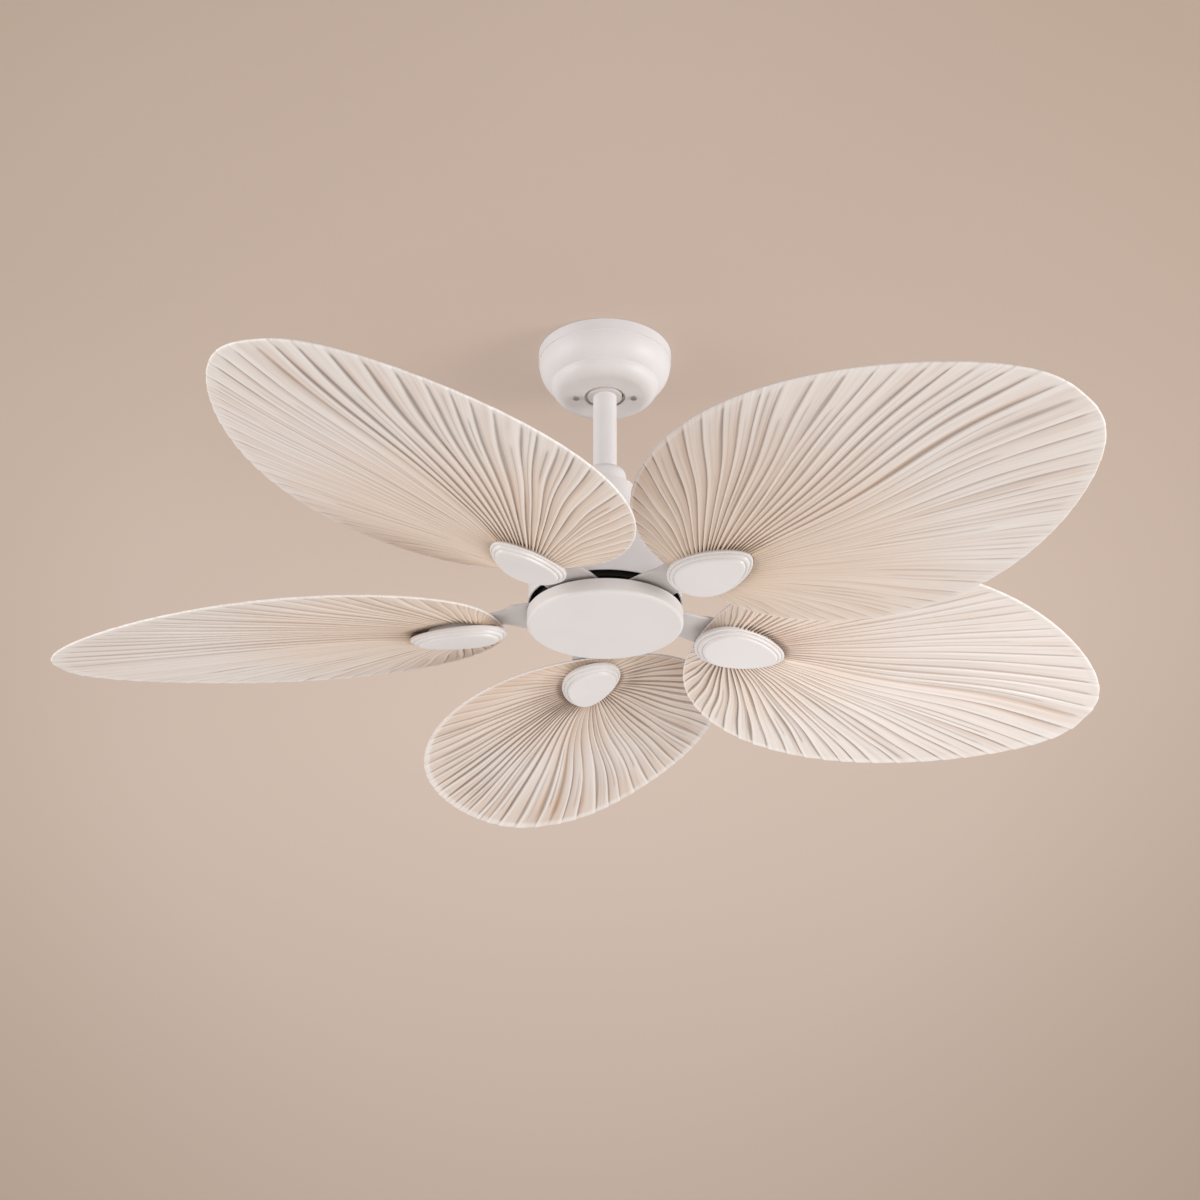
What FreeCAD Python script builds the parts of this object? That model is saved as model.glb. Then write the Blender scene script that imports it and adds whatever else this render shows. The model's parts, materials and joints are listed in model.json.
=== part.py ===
import FreeCAD, Part
import Sketcher
import math
import os
import re

# Ceiling fan with five palm-leaf blades. Millimetres; the ceiling is z = 0 and the fan hangs below it
# on the Z axis. Every "drop" is a depth below the ceiling.

Vector = FreeCAD.Vector
Rotation = FreeCAD.Rotation
Placement = FreeCAD.Placement

doc = FreeCAD.newDocument("ceiling_fan")
sheet = doc.addObject("Spreadsheet::Sheet", "Size")

driving = {
    # ceiling mount
    "canopy_radius": 79.8,
    "canopy_height": 60,
    "canopy_wall": 1.2,
    "canopy_band": 14,
    "canopy_lip": 0.8,
    "canopy_waist_radius": 64,
    "canopy_waist_drop": 44,
    "canopy_floor_radius": 46,
    "canopy_hole_radius": 24.5,
    "canopy_screw_offset": 34.5,
    "canopy_screw_radius": 2,
    "strap_thickness": 2.5,
    "strap_width": 60,
    "strap_half_span": 42,
    "strap_clearance": 0.5,
    "flange_reach": 20,
    "slot_radius": 2.6,
    "slot_length": 12,
    "receiver_height": 16,
    "receiver_width": 42,
    "terminal_length": 36,
    "terminal_depth": 12,
    # hanger ball
    "ball_radius": 25.5,
    "ball_drop": 44,
    "ball_top": 17,
    "ball_bottom": 16,
    "liner_thickness": 2,
    "swivel_clearance": 0.1,
    "seat_wall": 2.6,
    "key_width": 5,
    "pin_radius": 3,
    "set_screw_radius": 2.5,
    "fit_clearance": 0.1,
    # downrod and coupling
    "rod_radius": 14,
    "rod_wall": 2,
    "rod_length": 163,
    "coupling_wall": 2.9,
    "coupling_flange": 4,
    "coupling_cover_radius": 24.9,
    "coupling_cover_height": 20,
    "coupling_cover_round": 9,
    # motor housing
    "housing_radius": 87.8,
    "housing_wall": 1.5,
    "neck_radius": 34.5,
    "neck_height": 19,
    "shoulder_height": 5,
    "bell_height": 90,
    "skirt_height": 46,
    # motor
    "rotor_clearance": 6.3,
    "rotor_height": 58,
    "rotor_proud": 4,
    "rotor_wall": 6,
    "hub_wall": 4,
    "bearing_lip": 3,
    "bearing_bore": 8.5,
    "bearing_radius": 20,
    "bearing_width": 12,
    "bearing_ball_radius": 3.4,
    "bearing_clearance": 0.05,
    "shaft_bore": 5.5,
    "shaft_shoulder": 11,
    "magnet_thickness": 4.5,
    "air_gap": 1,
    "stator_clearance": 2.5,
    "tooth_width": 8,
    "coil_width": 4.5,
    "rotor_screw_radius": 1.75,
    # bottom cover
    "cover_overhang": 1.2,
    "cover_height": 17,
    "cover_wall": 1.8,
    "cover_round": 4.0,
    "cover_clearance": 4,
    "plate_thickness": 2.5,
    "nut_height": 6,
    "nut_radius": 14,
    # arms and blades
    "arm_thickness": 4,
    "arm_waist_width": 52,
    "arm_pad_start": 133,
    "arm_pad_width": 46,
    "arm_end_width": 30,
    "arm_screw_radius": 2,
    "blade_tip_radius": 660,
    "blade_root_radius": 125,
    "blade_half_width": 174,
    "blade_thickness": 2,
    "blade_pitch": 11.84,
    "blade_droop": 1.06,
    "blade_set": 7.6,
    "pleat_depth": 3,
    "pleat_scallop": 1.5,
    "gasket_thickness": 1,
    "pad_centre": 178,
    "pad_half_length": 46,
    "pad_half_width": 31,
    "medallion_centre": 173,
    "medallion_half_length": 56.5,
    "medallion_half_width": 34.5,
    "medallion_height": 20.0,
    "blade_screw_radius": 2.2,
}
derived = {
    "canopy_inset": "canopy_radius - canopy_lip - canopy_waist_radius",
    "bowl_drop": "canopy_waist_drop - canopy_band",
    "bowl_curve": "(canopy_inset ^ 2 + bowl_drop ^ 2) / (2 * canopy_inset)",
    "foot_inset": "canopy_waist_radius - canopy_floor_radius",
    "foot_drop": "canopy_height - canopy_waist_drop",
    "foot_curve": "(foot_inset ^ 2 + foot_drop ^ 2) / (2 * foot_drop)",
    "strap_floor": "canopy_height - canopy_wall",
    "liner_inner": "ball_radius + swivel_clearance",
    "liner_outer": "liner_inner + liner_thickness",
    "seat_inner": "liner_outer + swivel_clearance",
    "seat_outer": "seat_inner + seat_wall",
    "seat_top": "ball_drop + 3",
    "rod_gate": "rod_radius + 2",
    "hanger_pin_drop": "ball_drop - 8",
    "rod_top": "ball_drop - 14",
    "rod_end": "rod_top + rod_length",
    "housing_top": "rod_end - 12",
    "coupling_radius": "rod_radius + fit_clearance + coupling_wall",
    "coupling_top": "housing_top - 13",
    "coupling_floor": "rod_end + 7",
    "coupling_end": "coupling_floor + 16",
    "clevis_drop": "housing_top - 7",
    "housing_screw_circle": "coupling_radius + 3.5",
    "neck_end": "housing_top + neck_height",
    "skirt_top": "neck_end + bell_height",
    "housing_rim": "skirt_top + skirt_height",
    "flare": "housing_radius - neck_radius",
    "bell_curve": "(flare ^ 2 + bell_height ^ 2) / (4 * flare)",
    "bell_lean_r": "(bell_curve - flare / 2) / bell_curve",
    "bell_lean_z": "bell_height / 2 / bell_curve",
    "rotor_radius": "housing_radius - housing_wall - rotor_clearance",
    "rotor_bottom": "housing_rim + rotor_proud",
    "rotor_top": "rotor_bottom - rotor_height",
    "rotor_split": "(rotor_bottom + rotor_top) / 2",
    "hub_radius": "bearing_radius + hub_wall",
    "bearing_pitch": "(bearing_bore + bearing_radius) / 2",
    "bearing_land": "bearing_ball_radius * 0.7",
    "stator_top": "rotor_top + bearing_width + bearing_lip + stator_clearance",
    "stator_bottom": "rotor_bottom - bearing_width - bearing_lip - stator_clearance",
    "magnet_inner": "rotor_radius - rotor_wall - magnet_thickness",
    "stator_radius": "magnet_inner - air_gap",
    "core_radius": "stator_radius * 0.57",
    "tip_inner": "stator_radius - 5",
    "cover_radius": "housing_radius + cover_overhang",
    "cover_rim": "rotor_bottom + arm_thickness + cover_clearance",
    "cover_bottom": "cover_rim + cover_height",
    "plate_top": "cover_rim + 3",
    "plate_radius": "cover_radius - cover_wall - 3.2",
    "plate_bottom": "plate_top + plate_thickness",
    "nut_bottom": "plate_bottom + nut_height",
    "arm_root": "0.7 * rotor_radius",
    "arm_root_width": "1.07 * arm_root",
    "arm_waist": "housing_radius + 4.2",
    "arm_screw_circle": "rotor_radius - 10",
    "arm_screw_spread": "0.28 * arm_root_width",
    "blade_drop": "rotor_bottom + blade_set",
    "arm_under": "blade_thickness / 2 + gasket_thickness",
    "medallion_lift": "blade_thickness / 2",
}
for row, (name, value) in enumerate(driving.items(), start=1):
    sheet.set(f"A{row}", name)
    sheet.set(f"B{row}", str(value))
    sheet.setAlias(f"B{row}", name)
for row, (name, formula) in enumerate(derived.items(), start=1):
    sheet.set(f"D{row}", name)
    sheet.set(f"E{row}", "=" + formula)
    sheet.setAlias(f"E{row}", name)
doc.recompute()

aliases = re.compile(r"\b(" + "|".join(list(driving) + list(derived)) + r")\b")
parts = {}


def size(text):
    return float(sheet.evalExpression(str(text)))


def bind(thing, prop, text):
    thing.setExpression(prop, aliases.sub(r"Size.\1", str(text)))


def place(thing, x, y, z, turn=None):
    if turn is not None:
        thing.Placement = Placement(Vector(), turn)
    for axis, text in zip("xyz", (x, y, z)):
        bind(thing, f"Placement.Base.{axis}", text)


def cylinder(radius, height, z, x="0", y="0", turn=None):
    thing = doc.addObject("Part::Cylinder", "cylinder")
    bind(thing, "Radius", radius)
    bind(thing, "Height", height)
    place(thing, x, y, z, turn)
    return thing


def box(x, y, z, length, width, height, turn=None):
    thing = doc.addObject("Part::Box", "box")
    bind(thing, "Length", length)
    bind(thing, "Width", width)
    bind(thing, "Height", height)
    place(thing, x, y, z, turn)
    return thing


def sphere(radius, x, y, z):
    thing = doc.addObject("Part::Sphere", "sphere")
    bind(thing, "Radius", radius)
    place(thing, x, y, z)
    return thing


def torus(ring, tube, x, y, z, turn=None):
    thing = doc.addObject("Part::Torus", "torus")
    bind(thing, "Radius1", ring)
    bind(thing, "Radius2", tube)
    place(thing, x, y, z, turn)
    return thing


def fuse(things):
    thing = doc.addObject("Part::MultiFuse", "fuse")
    thing.Shapes = things
    return thing


def cut(base, tools):
    thing = doc.addObject("Part::Cut", "cut")
    thing.Base = base
    thing.Tool = tools[0] if len(tools) == 1 else fuse(tools)
    return thing


def group(things):
    thing = doc.addObject("Part::Compound", "group")
    thing.Links = things
    return thing


def keep(node, thing):
    thing.Label = node
    parts[node] = thing
    return thing


def origin_plane(body, role):
    return [item for item in body.Origin.OriginFeatures if item.Role == role][0]


def new_sketch(body, role):
    sketch = body.newObject("Sketcher::SketchObject", "sketch")
    sketch.AttachmentSupport = [(origin_plane(body, role), "")]
    sketch.MapMode = "FlatFace"
    return sketch


def arc_between(start, end, radius, turn):
    # turn +1 runs counter-clockwise from start to end, -1 clockwise
    chord = end - start
    side = Vector(-chord.y, chord.x, 0).normalize() * turn
    rise = math.sqrt(max(radius ** 2 - (chord.Length / 2) ** 2, 0))
    centre = (start + end) * 0.5 + side * rise
    first, last = (start, end) if turn > 0 else (end, start)
    angles = [math.atan2(p.y - centre.y, p.x - centre.x) for p in (first, last)]
    if angles[1] < angles[0]:
        angles[1] += 2 * math.pi
    return Part.ArcOfCircle(Part.Circle(centre, Vector(0, 0, 1), radius), *angles)


def draw(sketch, outline):
    # each corner is (x, y), or (x, y, radius, turn) where an arc leads to the next corner
    spots = [Vector(size(c[0]), size(c[1]), 0) for c in outline]
    ends = []
    for i, corner in enumerate(outline):
        start, end = spots[i], spots[(i + 1) % len(spots)]
        if len(corner) == 4:
            edge = sketch.addGeometry(arc_between(start, end, size(corner[2]), corner[3]), False)
            ends.append((edge, 1, 2) if corner[3] > 0 else (edge, 2, 1))
        else:
            ends.append((sketch.addGeometry(Part.LineSegment(start, end), False), 1, 2))
    for i, corner in enumerate(outline):
        edge, first, last = ends[i]
        following = ends[(i + 1) % len(ends)]
        sketch.addConstraint(Sketcher.Constraint("Coincident", edge, last, following[0], following[1]))
    for i, corner in enumerate(outline):
        edge, first, last = ends[i]
        for kind, text, value in (("DistanceX", corner[0], spots[i].x), ("DistanceY", corner[1], spots[i].y)):
            rule = sketch.addConstraint(Sketcher.Constraint(kind, -1, 1, edge, first, value))
            bind(sketch, f"Constraints[{rule}]", text)
        if len(corner) == 4:
            rule = sketch.addConstraint(Sketcher.Constraint("Radius", edge, size(corner[2])))
            bind(sketch, f"Constraints[{rule}]", corner[2])


def revolved(outline):
    body = doc.addObject("PartDesign::Body", "turned")
    sketch = new_sketch(body, "XZ_Plane")
    draw(sketch, outline)
    turned = body.newObject("PartDesign::Revolution", "revolution")
    turned.Profile = sketch
    turned.ReferenceAxis = (sketch, ["V_Axis"])
    turned.Angle = 360
    return body


def around(count, first=0):
    return [first + 360 / count * k for k in range(count)]


def polar(radius, angle):
    return f"({radius}) * cos({angle} deg)", f"({radius}) * sin({angle} deg)"


along_x = Rotation(Vector(0, 1, 0), 90)
along_y = Rotation(Vector(1, 0, 0), -90)


# Canopy: a drawn steel bowl, open at the ceiling, with a waist line above its flat floor.
canopy_shell = revolved([
    ("canopy_radius - canopy_wall", "0"),
    ("canopy_radius", "0"),
    ("canopy_radius", "-canopy_band"),
    ("canopy_radius - canopy_lip", "-canopy_band", "bowl_curve", -1),
    ("canopy_waist_radius", "-canopy_waist_drop", "foot_curve", -1),
    ("canopy_floor_radius", "-canopy_height"),
    ("canopy_hole_radius", "-canopy_height"),
    ("canopy_hole_radius", "-strap_floor"),
    ("canopy_floor_radius", "-strap_floor", "foot_curve - canopy_wall", 1),
    ("canopy_waist_radius - canopy_wall * foot_inset / foot_curve",
     "-canopy_waist_drop - canopy_wall * (foot_curve - foot_drop) / foot_curve"),
    ("canopy_waist_radius - canopy_wall * (bowl_curve - canopy_inset) / bowl_curve",
     "-canopy_waist_drop + canopy_wall * bowl_drop / bowl_curve", "bowl_curve - canopy_wall", 1),
    ("canopy_radius - canopy_lip - canopy_wall", "-canopy_band"),
    ("canopy_radius - canopy_lip - canopy_wall", "-canopy_band + canopy_wall"),
    ("canopy_radius - canopy_wall", "-canopy_band + canopy_wall"),
])
screw_spots = ["canopy_screw_offset", "-canopy_screw_offset"]
canopy_holes = [cylinder("canopy_screw_radius + fit_clearance", "3 * canopy_wall", "-canopy_height - canopy_wall", x)
                for x in screw_spots]
keep("canopy", cut(canopy_shell, canopy_holes))
keep("canopy_screws", group([
    fuse([
        cylinder("canopy_screw_radius", "strap_thickness + canopy_wall + 3", "-canopy_height", x),
        cylinder("canopy_screw_radius * 1.8", "2.2", "-canopy_height - 2.2", x),
    ]) for x in screw_spots]))

# Hanger bracket: a hat-shaped strap with a round ball seat in its floor, open on one side for the rod,
# and a key that stops the ball turning about the vertical.
leg_inner = "strap_half_span - strap_thickness"
flanges = [
    box(x, "-strap_width / 2", "-strap_thickness", "flange_reach + strap_thickness", "strap_width", "strap_thickness")
    for x in (leg_inner, "-strap_half_span - flange_reach")]
legs = [
    box(x, "-strap_width / 2", "-strap_floor", "strap_thickness", "strap_width", "strap_floor")
    for x in (leg_inner, "-strap_half_span")]
strap_floor = box("-strap_half_span", "-strap_width / 2", "-strap_floor",
                  "2 * strap_half_span", "strap_width", "strap_thickness")
seat_ring = cylinder("seat_outer", "strap_floor - seat_top", "-strap_floor")
key_post = box("seat_inner + 0.5", "-key_width / 2", "-seat_top - 1",
               "seat_wall - 0.5", "key_width", "seat_top - ball_drop + 7")
key_tab = box("ball_radius - 2.9", "-key_width / 2", "-ball_drop + 1",
              "seat_outer - ball_radius + 2.9", "key_width", "5")
slot_tools = []
for side in ("1", "-1"):
    middle = f"{side} * (strap_half_span + flange_reach / 2)"
    reach = "(slot_length / 2 - slot_radius)"
    for end in ("1", "-1"):
        slot_tools.append(cylinder("slot_radius", "3 * strap_thickness", "-2 * strap_thickness",
                                   f"{middle} + {end} * {reach}"))
    slot_tools.append(box(f"{middle} - {reach}", "-slot_radius", "-2 * strap_thickness",
                          f"2 * {reach}", "2 * slot_radius", "3 * strap_thickness"))
tapped = [cylinder("canopy_screw_radius", "3 * strap_thickness", "-strap_floor - strap_thickness", x)
          for x in screw_spots]
rod_gate = box("-rod_gate", "-strap_width", "-strap_floor - 1", "2 * rod_gate", "strap_width", "strap_floor - ball_drop")
corner_trim = revolved([
    ("canopy_floor_radius - strap_clearance - 1", "-strap_floor - 1"),
    ("canopy_radius", "-strap_floor - 1"),
    ("canopy_radius", "-strap_floor + canopy_radius - canopy_floor_radius + strap_clearance"),
])
hat = fuse(flanges + legs + [strap_floor, seat_ring])
hat_cut = cut(hat, [sphere("seat_inner", "0", "0", "-ball_drop"), rod_gate, corner_trim] + slot_tools + tapped)
keep("hanger_bracket", fuse([hat_cut, key_post, key_tab]))

# Remote receiver wedged between the legs of the strap above the ball, with its terminal block.
keep("receiver_module", box(f"-({leg_inner})", "-receiver_width / 2", "-strap_thickness - receiver_height",
                            f"2 * ({leg_inner})", "receiver_width", "receiver_height"))
keep("terminal_block", cut(
    box("-terminal_length / 2", "receiver_width / 2", "-strap_thickness - receiver_height + 2",
        "terminal_length", "terminal_depth", "receiver_height - 4"),
    [cylinder("1.8", "6", "-strap_thickness - receiver_height + 1", f"{k} * terminal_length / 5",
              "receiver_width / 2 + terminal_depth / 2") for k in (-2, -1, 0, 1, 2)]))

# Ball seat liner: a spherical nylon ring between ball and seat, open on the rod side.
liner_blank = cut(sphere("liner_outer", "0", "0", "-ball_drop"), [
    sphere("liner_inner", "0", "0", "-ball_drop"),
    cylinder("2 * ball_radius", "2 * ball_radius", "-ball_drop - 4"),
    cylinder("2 * ball_radius", "2 * ball_radius", "-ball_drop - 13 - 2 * ball_radius"),
    box("-rod_gate", "-2 * ball_radius", "-ball_drop - 20", "2 * rod_gate", "2 * ball_radius", "40"),
])
keep("ball_seat_liner", liner_blank)

# Hanger ball, its cross pin and set screw, and the downrod.
pin_half = "(ball_radius - 3)"
keep("hanger_ball", cut(sphere("ball_radius", "0", "0", "-ball_drop"), [
    cylinder("rod_radius + fit_clearance", "3 * ball_radius", "-ball_drop - 1.5 * ball_radius"),
    cylinder("2 * ball_radius", "ball_radius", "-ball_drop + ball_top"),
    cylinder("2 * ball_radius", "ball_radius", "-ball_drop - ball_bottom - ball_radius"),
    box("ball_radius - 5.2", "-key_width / 2 - 1.7", "-ball_drop - ball_radius", "6", "key_width + 3.4", "2 * ball_radius"),
    cylinder("pin_radius + fit_clearance", "2 * ball_radius", "-hanger_pin_drop", "0", "-ball_radius", along_y),
    cylinder("set_screw_radius", "ball_radius", "-hanger_pin_drop", "-ball_radius", "0", along_x),
]))
keep("hanger_pin", cylinder("pin_radius", f"2 * {pin_half}", "-hanger_pin_drop", "0", f"-{pin_half}", along_y))
keep("ball_set_screw", cylinder("set_screw_radius", "ball_radius - 3 - rod_radius", "-hanger_pin_drop",
                                "3 - ball_radius", "0", along_x))
keep("downrod", cut(cylinder("rod_radius", "rod_length", "-rod_end"), [
    cylinder("rod_radius - rod_wall", "rod_length + 2", "-rod_end - 1"),
    cylinder("pin_radius + fit_clearance", "4 * rod_radius", "-hanger_pin_drop", "0", "-2 * rod_radius", along_y),
    cylinder("pin_radius + fit_clearance", "4 * rod_radius", "-clevis_drop", "-2 * rod_radius", "0", along_x),
]))

# Coupling: the sleeve that joins rod and motor shaft, its pin, clip and screws, and its cover.
screw_turns = around(3, 90)
coupling_blank = fuse([
    cylinder("coupling_radius", "coupling_end - coupling_top", "-coupling_end"),
    cylinder("housing_screw_circle + 4.5", "coupling_flange", "-housing_top - housing_wall - coupling_flange"),
])
flange_holes = [cylinder("1.6", "coupling_flange + 2", "-housing_top - housing_wall - coupling_flange - 1",
                         *polar("housing_screw_circle", a)) for a in screw_turns]
keep("coupling", cut(coupling_blank, flange_holes + [
    cylinder("rod_radius + fit_clearance", "coupling_floor - coupling_top + 1", "-coupling_floor"),
    cylinder("bearing_bore", "coupling_end - coupling_floor + 2", "-coupling_end - 1"),
    cylinder("pin_radius + fit_clearance", "4 * rod_radius", "-clevis_drop", "-2 * rod_radius", "0", along_x),
    cylinder("set_screw_radius", "4 * rod_radius", "-clevis_drop", "0", "-2 * rod_radius", along_y),
]))
clip_spot = "(coupling_radius + 2.3)"
keep("clevis_pin", cut(
    fuse([
        cylinder("pin_radius", "2 * coupling_radius + 6", "-clevis_drop", "-coupling_radius - 1", "0", along_x),
        cylinder("pin_radius + 2", "3", "-clevis_drop", "-coupling_radius - 4", "0", along_x),
    ]),
    [cylinder("0.9", "4 * pin_radius", "-clevis_drop - 2 * pin_radius", clip_spot)]))
keep("clevis_clip", fuse([
    cylinder("0.8", "pin_radius + 6.5", "-clevis_drop - pin_radius - 1.5", clip_spot),
    torus("2", "0.7", clip_spot, "0", "-clevis_drop + 6.6", along_x),
]))
keep("coupling_set_screws", group([
    cylinder("set_screw_radius", "6.5", "-clevis_drop", "0", y, along_y)
    for y in ("rod_radius", "-rod_radius - 6.5")]))
keep("housing_screws", group([
    fuse([
        cylinder("1.6", "housing_wall + coupling_flange", "-housing_top - housing_wall - coupling_flange", x, y),
        cylinder("2.6", "2.4", "-housing_top", x, y),
    ]) for x, y in (polar("housing_screw_circle", a) for a in screw_turns)]))
keep("coupling_cover", revolved([
    ("rod_radius + 4 * fit_clearance", "-housing_top + coupling_cover_height"),
    ("coupling_cover_radius - coupling_cover_round", "-housing_top + coupling_cover_height", "coupling_cover_round", -1),
    ("coupling_cover_radius", "-housing_top + coupling_cover_height - coupling_cover_round"),
    ("coupling_cover_radius", "-housing_top"),
    ("coupling_cover_radius - canopy_wall", "-housing_top"),
    ("coupling_cover_radius - canopy_wall", "-housing_top + coupling_cover_height - coupling_cover_round",
     "coupling_cover_round - canopy_wall", 1),
    ("coupling_cover_radius - coupling_cover_round", "-housing_top + coupling_cover_height - canopy_wall"),
    ("rod_radius + 4 * fit_clearance", "-housing_top + coupling_cover_height - canopy_wall"),
]))

# Motor housing: shoulder, neck, bell and skirt in one spun shell.
bell_middle = ("neck_radius + flare / 2", "-neck_end - bell_height / 2")
housing_shell = revolved([
    ("coupling_radius + 0.4", "-housing_top"),
    ("coupling_cover_radius + 1", "-housing_top"),
    ("neck_radius", "-housing_top - shoulder_height"),
    ("neck_radius", "-neck_end", "bell_curve", 1),
    (bell_middle[0], bell_middle[1], "bell_curve", -1),
    ("housing_radius", "-skirt_top"),
    ("housing_radius", "-housing_rim"),
    ("housing_radius - housing_wall", "-housing_rim"),
    ("housing_radius - housing_wall", "-skirt_top", "bell_curve - housing_wall", 1),
    (f"{bell_middle[0]} - housing_wall * bell_lean_r", f"{bell_middle[1]} - housing_wall * bell_lean_z",
     "bell_curve + housing_wall", -1),
    ("neck_radius - housing_wall", "-neck_end"),
    ("neck_radius - housing_wall", "-housing_top - shoulder_height - housing_wall"),
    ("coupling_cover_radius + 1", "-housing_top - housing_wall"),
    ("coupling_radius + 0.4", "-housing_top - housing_wall"),
])
keep("motor_housing", cut(housing_shell, [
    cylinder("1.6", "3 * housing_wall", "-housing_top - 2 * housing_wall", *polar("housing_screw_circle", a))
    for a in screw_turns]))

# Hollow motor shaft with a thicker middle that spaces bearings and stator.
keep("motor_shaft", revolved([
    ("shaft_bore", "-coupling_floor"),
    ("bearing_bore", "-coupling_floor"),
    ("bearing_bore", "-rotor_top - bearing_width"),
    ("shaft_shoulder", "-rotor_top - bearing_width"),
    ("shaft_shoulder", "-rotor_bottom + bearing_width"),
    ("bearing_bore", "-rotor_bottom + bearing_width"),
    ("bearing_bore", "-nut_bottom - 0.5"),
    ("shaft_bore", "-nut_bottom - 0.5"),
]))

# Stator: a laminated core with twelve T-shaped teeth, one coil on each.
stack = "(stator_bottom - stator_top)"
teeth = around(12)
core_body = doc.addObject("PartDesign::Body", "core")
tooth_sketch = new_sketch(core_body, "XY_Plane")
tip_half = "stator_radius * 0.2"
draw(tooth_sketch, [
    ("core_radius - 3", "-tooth_width / 2"),
    ("tip_inner", "-tooth_width / 2"),
    ("tip_inner", f"-{tip_half}"),
    (f"sqrt(stator_radius ^ 2 - ({tip_half}) ^ 2)", f"-{tip_half}", "stator_radius", 1),
    (f"sqrt(stator_radius ^ 2 - ({tip_half}) ^ 2)", tip_half),
    ("tip_inner", tip_half),
    ("tip_inner", "tooth_width / 2"),
    ("core_radius - 3", "tooth_width / 2"),
])
bind(tooth_sketch, "AttachmentOffset.Base.z", "-stator_bottom")
hub_sketch = new_sketch(core_body, "XY_Plane")
for radius in ("core_radius", "shaft_shoulder"):
    ring = hub_sketch.addGeometry(Part.Circle(Vector(), Vector(0, 0, 1), size(radius)), False)
    hub_sketch.addConstraint(Sketcher.Constraint("Coincident", ring, 3, -1, 1))
    rule = hub_sketch.addConstraint(Sketcher.Constraint("Radius", ring, size(radius)))
    bind(hub_sketch, f"Constraints[{rule}]", radius)
bind(hub_sketch, "AttachmentOffset.Base.z", "-stator_bottom")
hub_pad = core_body.newObject("PartDesign::Pad", "hub_pad")
hub_pad.Profile = hub_sketch
bind(hub_pad, "Length", stack)
tooth_pad = core_body.newObject("PartDesign::Pad", "tooth_pad")
tooth_pad.Profile = tooth_sketch
bind(tooth_pad, "Length", stack)
core_body.Tip = tooth_pad
doc.recompute()
tooth_ring = core_body.newObject("PartDesign::PolarPattern", "tooth_ring")
tooth_ring.Originals = [tooth_pad]
tooth_ring.Axis = (tooth_sketch, ["N_Axis"])
tooth_ring.Angle = 360
tooth_ring.Occurrences = len(teeth)
core_body.Tip = tooth_ring
keep("stator_core", core_body)
coils = []
for angle in teeth:
    turn = Rotation(Vector(0, 0, 1), angle)
    start = "core_radius + 3"
    half = "(tooth_width / 2 + coil_width)"
    across = f"({half}) * sin({angle} deg)", f"-({half}) * cos({angle} deg)"
    inward = polar(start, angle)
    outer = box(f"{inward[0]} + {across[0]}", f"{inward[1]} + {across[1]}", "-stator_bottom - coil_width",
                f"tip_inner - 1 - ({start})", f"2 * {half}", f"{stack} + 2 * coil_width", turn)
    slim = f"(tooth_width / 2) * sin({angle} deg)", f"-(tooth_width / 2) * cos({angle} deg)"
    begin = polar("core_radius + 1", angle)
    inner = box(f"{begin[0]} + {slim[0]}", f"{begin[1]} + {slim[1]}", "-stator_bottom",
                "tip_inner - core_radius", "tooth_width", stack, turn)
    coils.append(cut(outer, [inner]))
keep("stator_windings", group(coils))

# Two ball bearings: races, cage and balls.
ball_turns = around(8)
for name, level in (("upper", "-rotor_top - bearing_width"), ("lower", "-rotor_bottom")):
    middle = f"{level} + bearing_width / 2"
    track = torus("bearing_pitch", "bearing_ball_radius + bearing_clearance", "0", "0", middle)
    inner_blank = cylinder("bearing_pitch - bearing_land", "bearing_width", level)
    keep(f"{name}_bearing_inner_race", cut(inner_blank, [
        cylinder("bearing_bore", "bearing_width + 2", f"{level} - 1"), track]))
    outer_blank = cylinder("bearing_radius", "bearing_width", level)
    outer_track = torus("bearing_pitch", "bearing_ball_radius + bearing_clearance", "0", "0", middle)
    keep(f"{name}_bearing_outer_race", cut(outer_blank, [
        cylinder("bearing_pitch + bearing_land", "bearing_width + 2", f"{level} - 1"), outer_track]))
    keep(f"{name}_bearing_balls", group([
        sphere("bearing_ball_radius", *polar("bearing_pitch", a), middle) for a in ball_turns]))
    cage_half = "(bearing_ball_radius + 1.2)"
    pockets = [cylinder("bearing_ball_radius + bearing_clearance", "6", middle,
                        *polar("bearing_pitch - 3", a),
                        Rotation(Vector(0, 0, 1), a) * along_x) for a in ball_turns]
    keep(f"{name}_bearing_cage", cut(
        cylinder("bearing_pitch + 0.9", f"2 * {cage_half}", f"{middle} - {cage_half}"),
        [cylinder("bearing_pitch - 0.9", "bearing_width", level)] + pockets))

# Rotor: two cast shells around the stator, magnets on the wall, screws through the wall.
wall_inner = "rotor_radius - rotor_wall"
bearing_gate = "bearing_radius - 2.5"
upper_shell = revolved([
    ("bearing_radius", "-rotor_top"),
    ("rotor_radius", "-rotor_top"),
    ("rotor_radius", "-rotor_split"),
    (wall_inner, "-rotor_split"),
    (wall_inner, "-rotor_top - rotor_wall"),
    ("hub_radius", "-rotor_top - rotor_wall"),
    ("hub_radius", "-rotor_top - bearing_width - bearing_lip"),
    (bearing_gate, "-rotor_top - bearing_width - bearing_lip"),
    (bearing_gate, "-rotor_top - bearing_width"),
    ("bearing_radius", "-rotor_top - bearing_width"),
])
lower_shell = revolved([
    ("bearing_radius", "-rotor_bottom"),
    ("rotor_radius", "-rotor_bottom"),
    ("rotor_radius", "-rotor_split"),
    (wall_inner, "-rotor_split"),
    (wall_inner, "-rotor_bottom + rotor_wall"),
    ("hub_radius", "-rotor_bottom + rotor_wall"),
    ("hub_radius", "-rotor_bottom + bearing_width + bearing_lip"),
    (bearing_gate, "-rotor_bottom + bearing_width + bearing_lip"),
    (bearing_gate, "-rotor_bottom + bearing_width"),
    ("bearing_radius", "-rotor_bottom + bearing_width"),
])
first_blade_turn = 25
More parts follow.
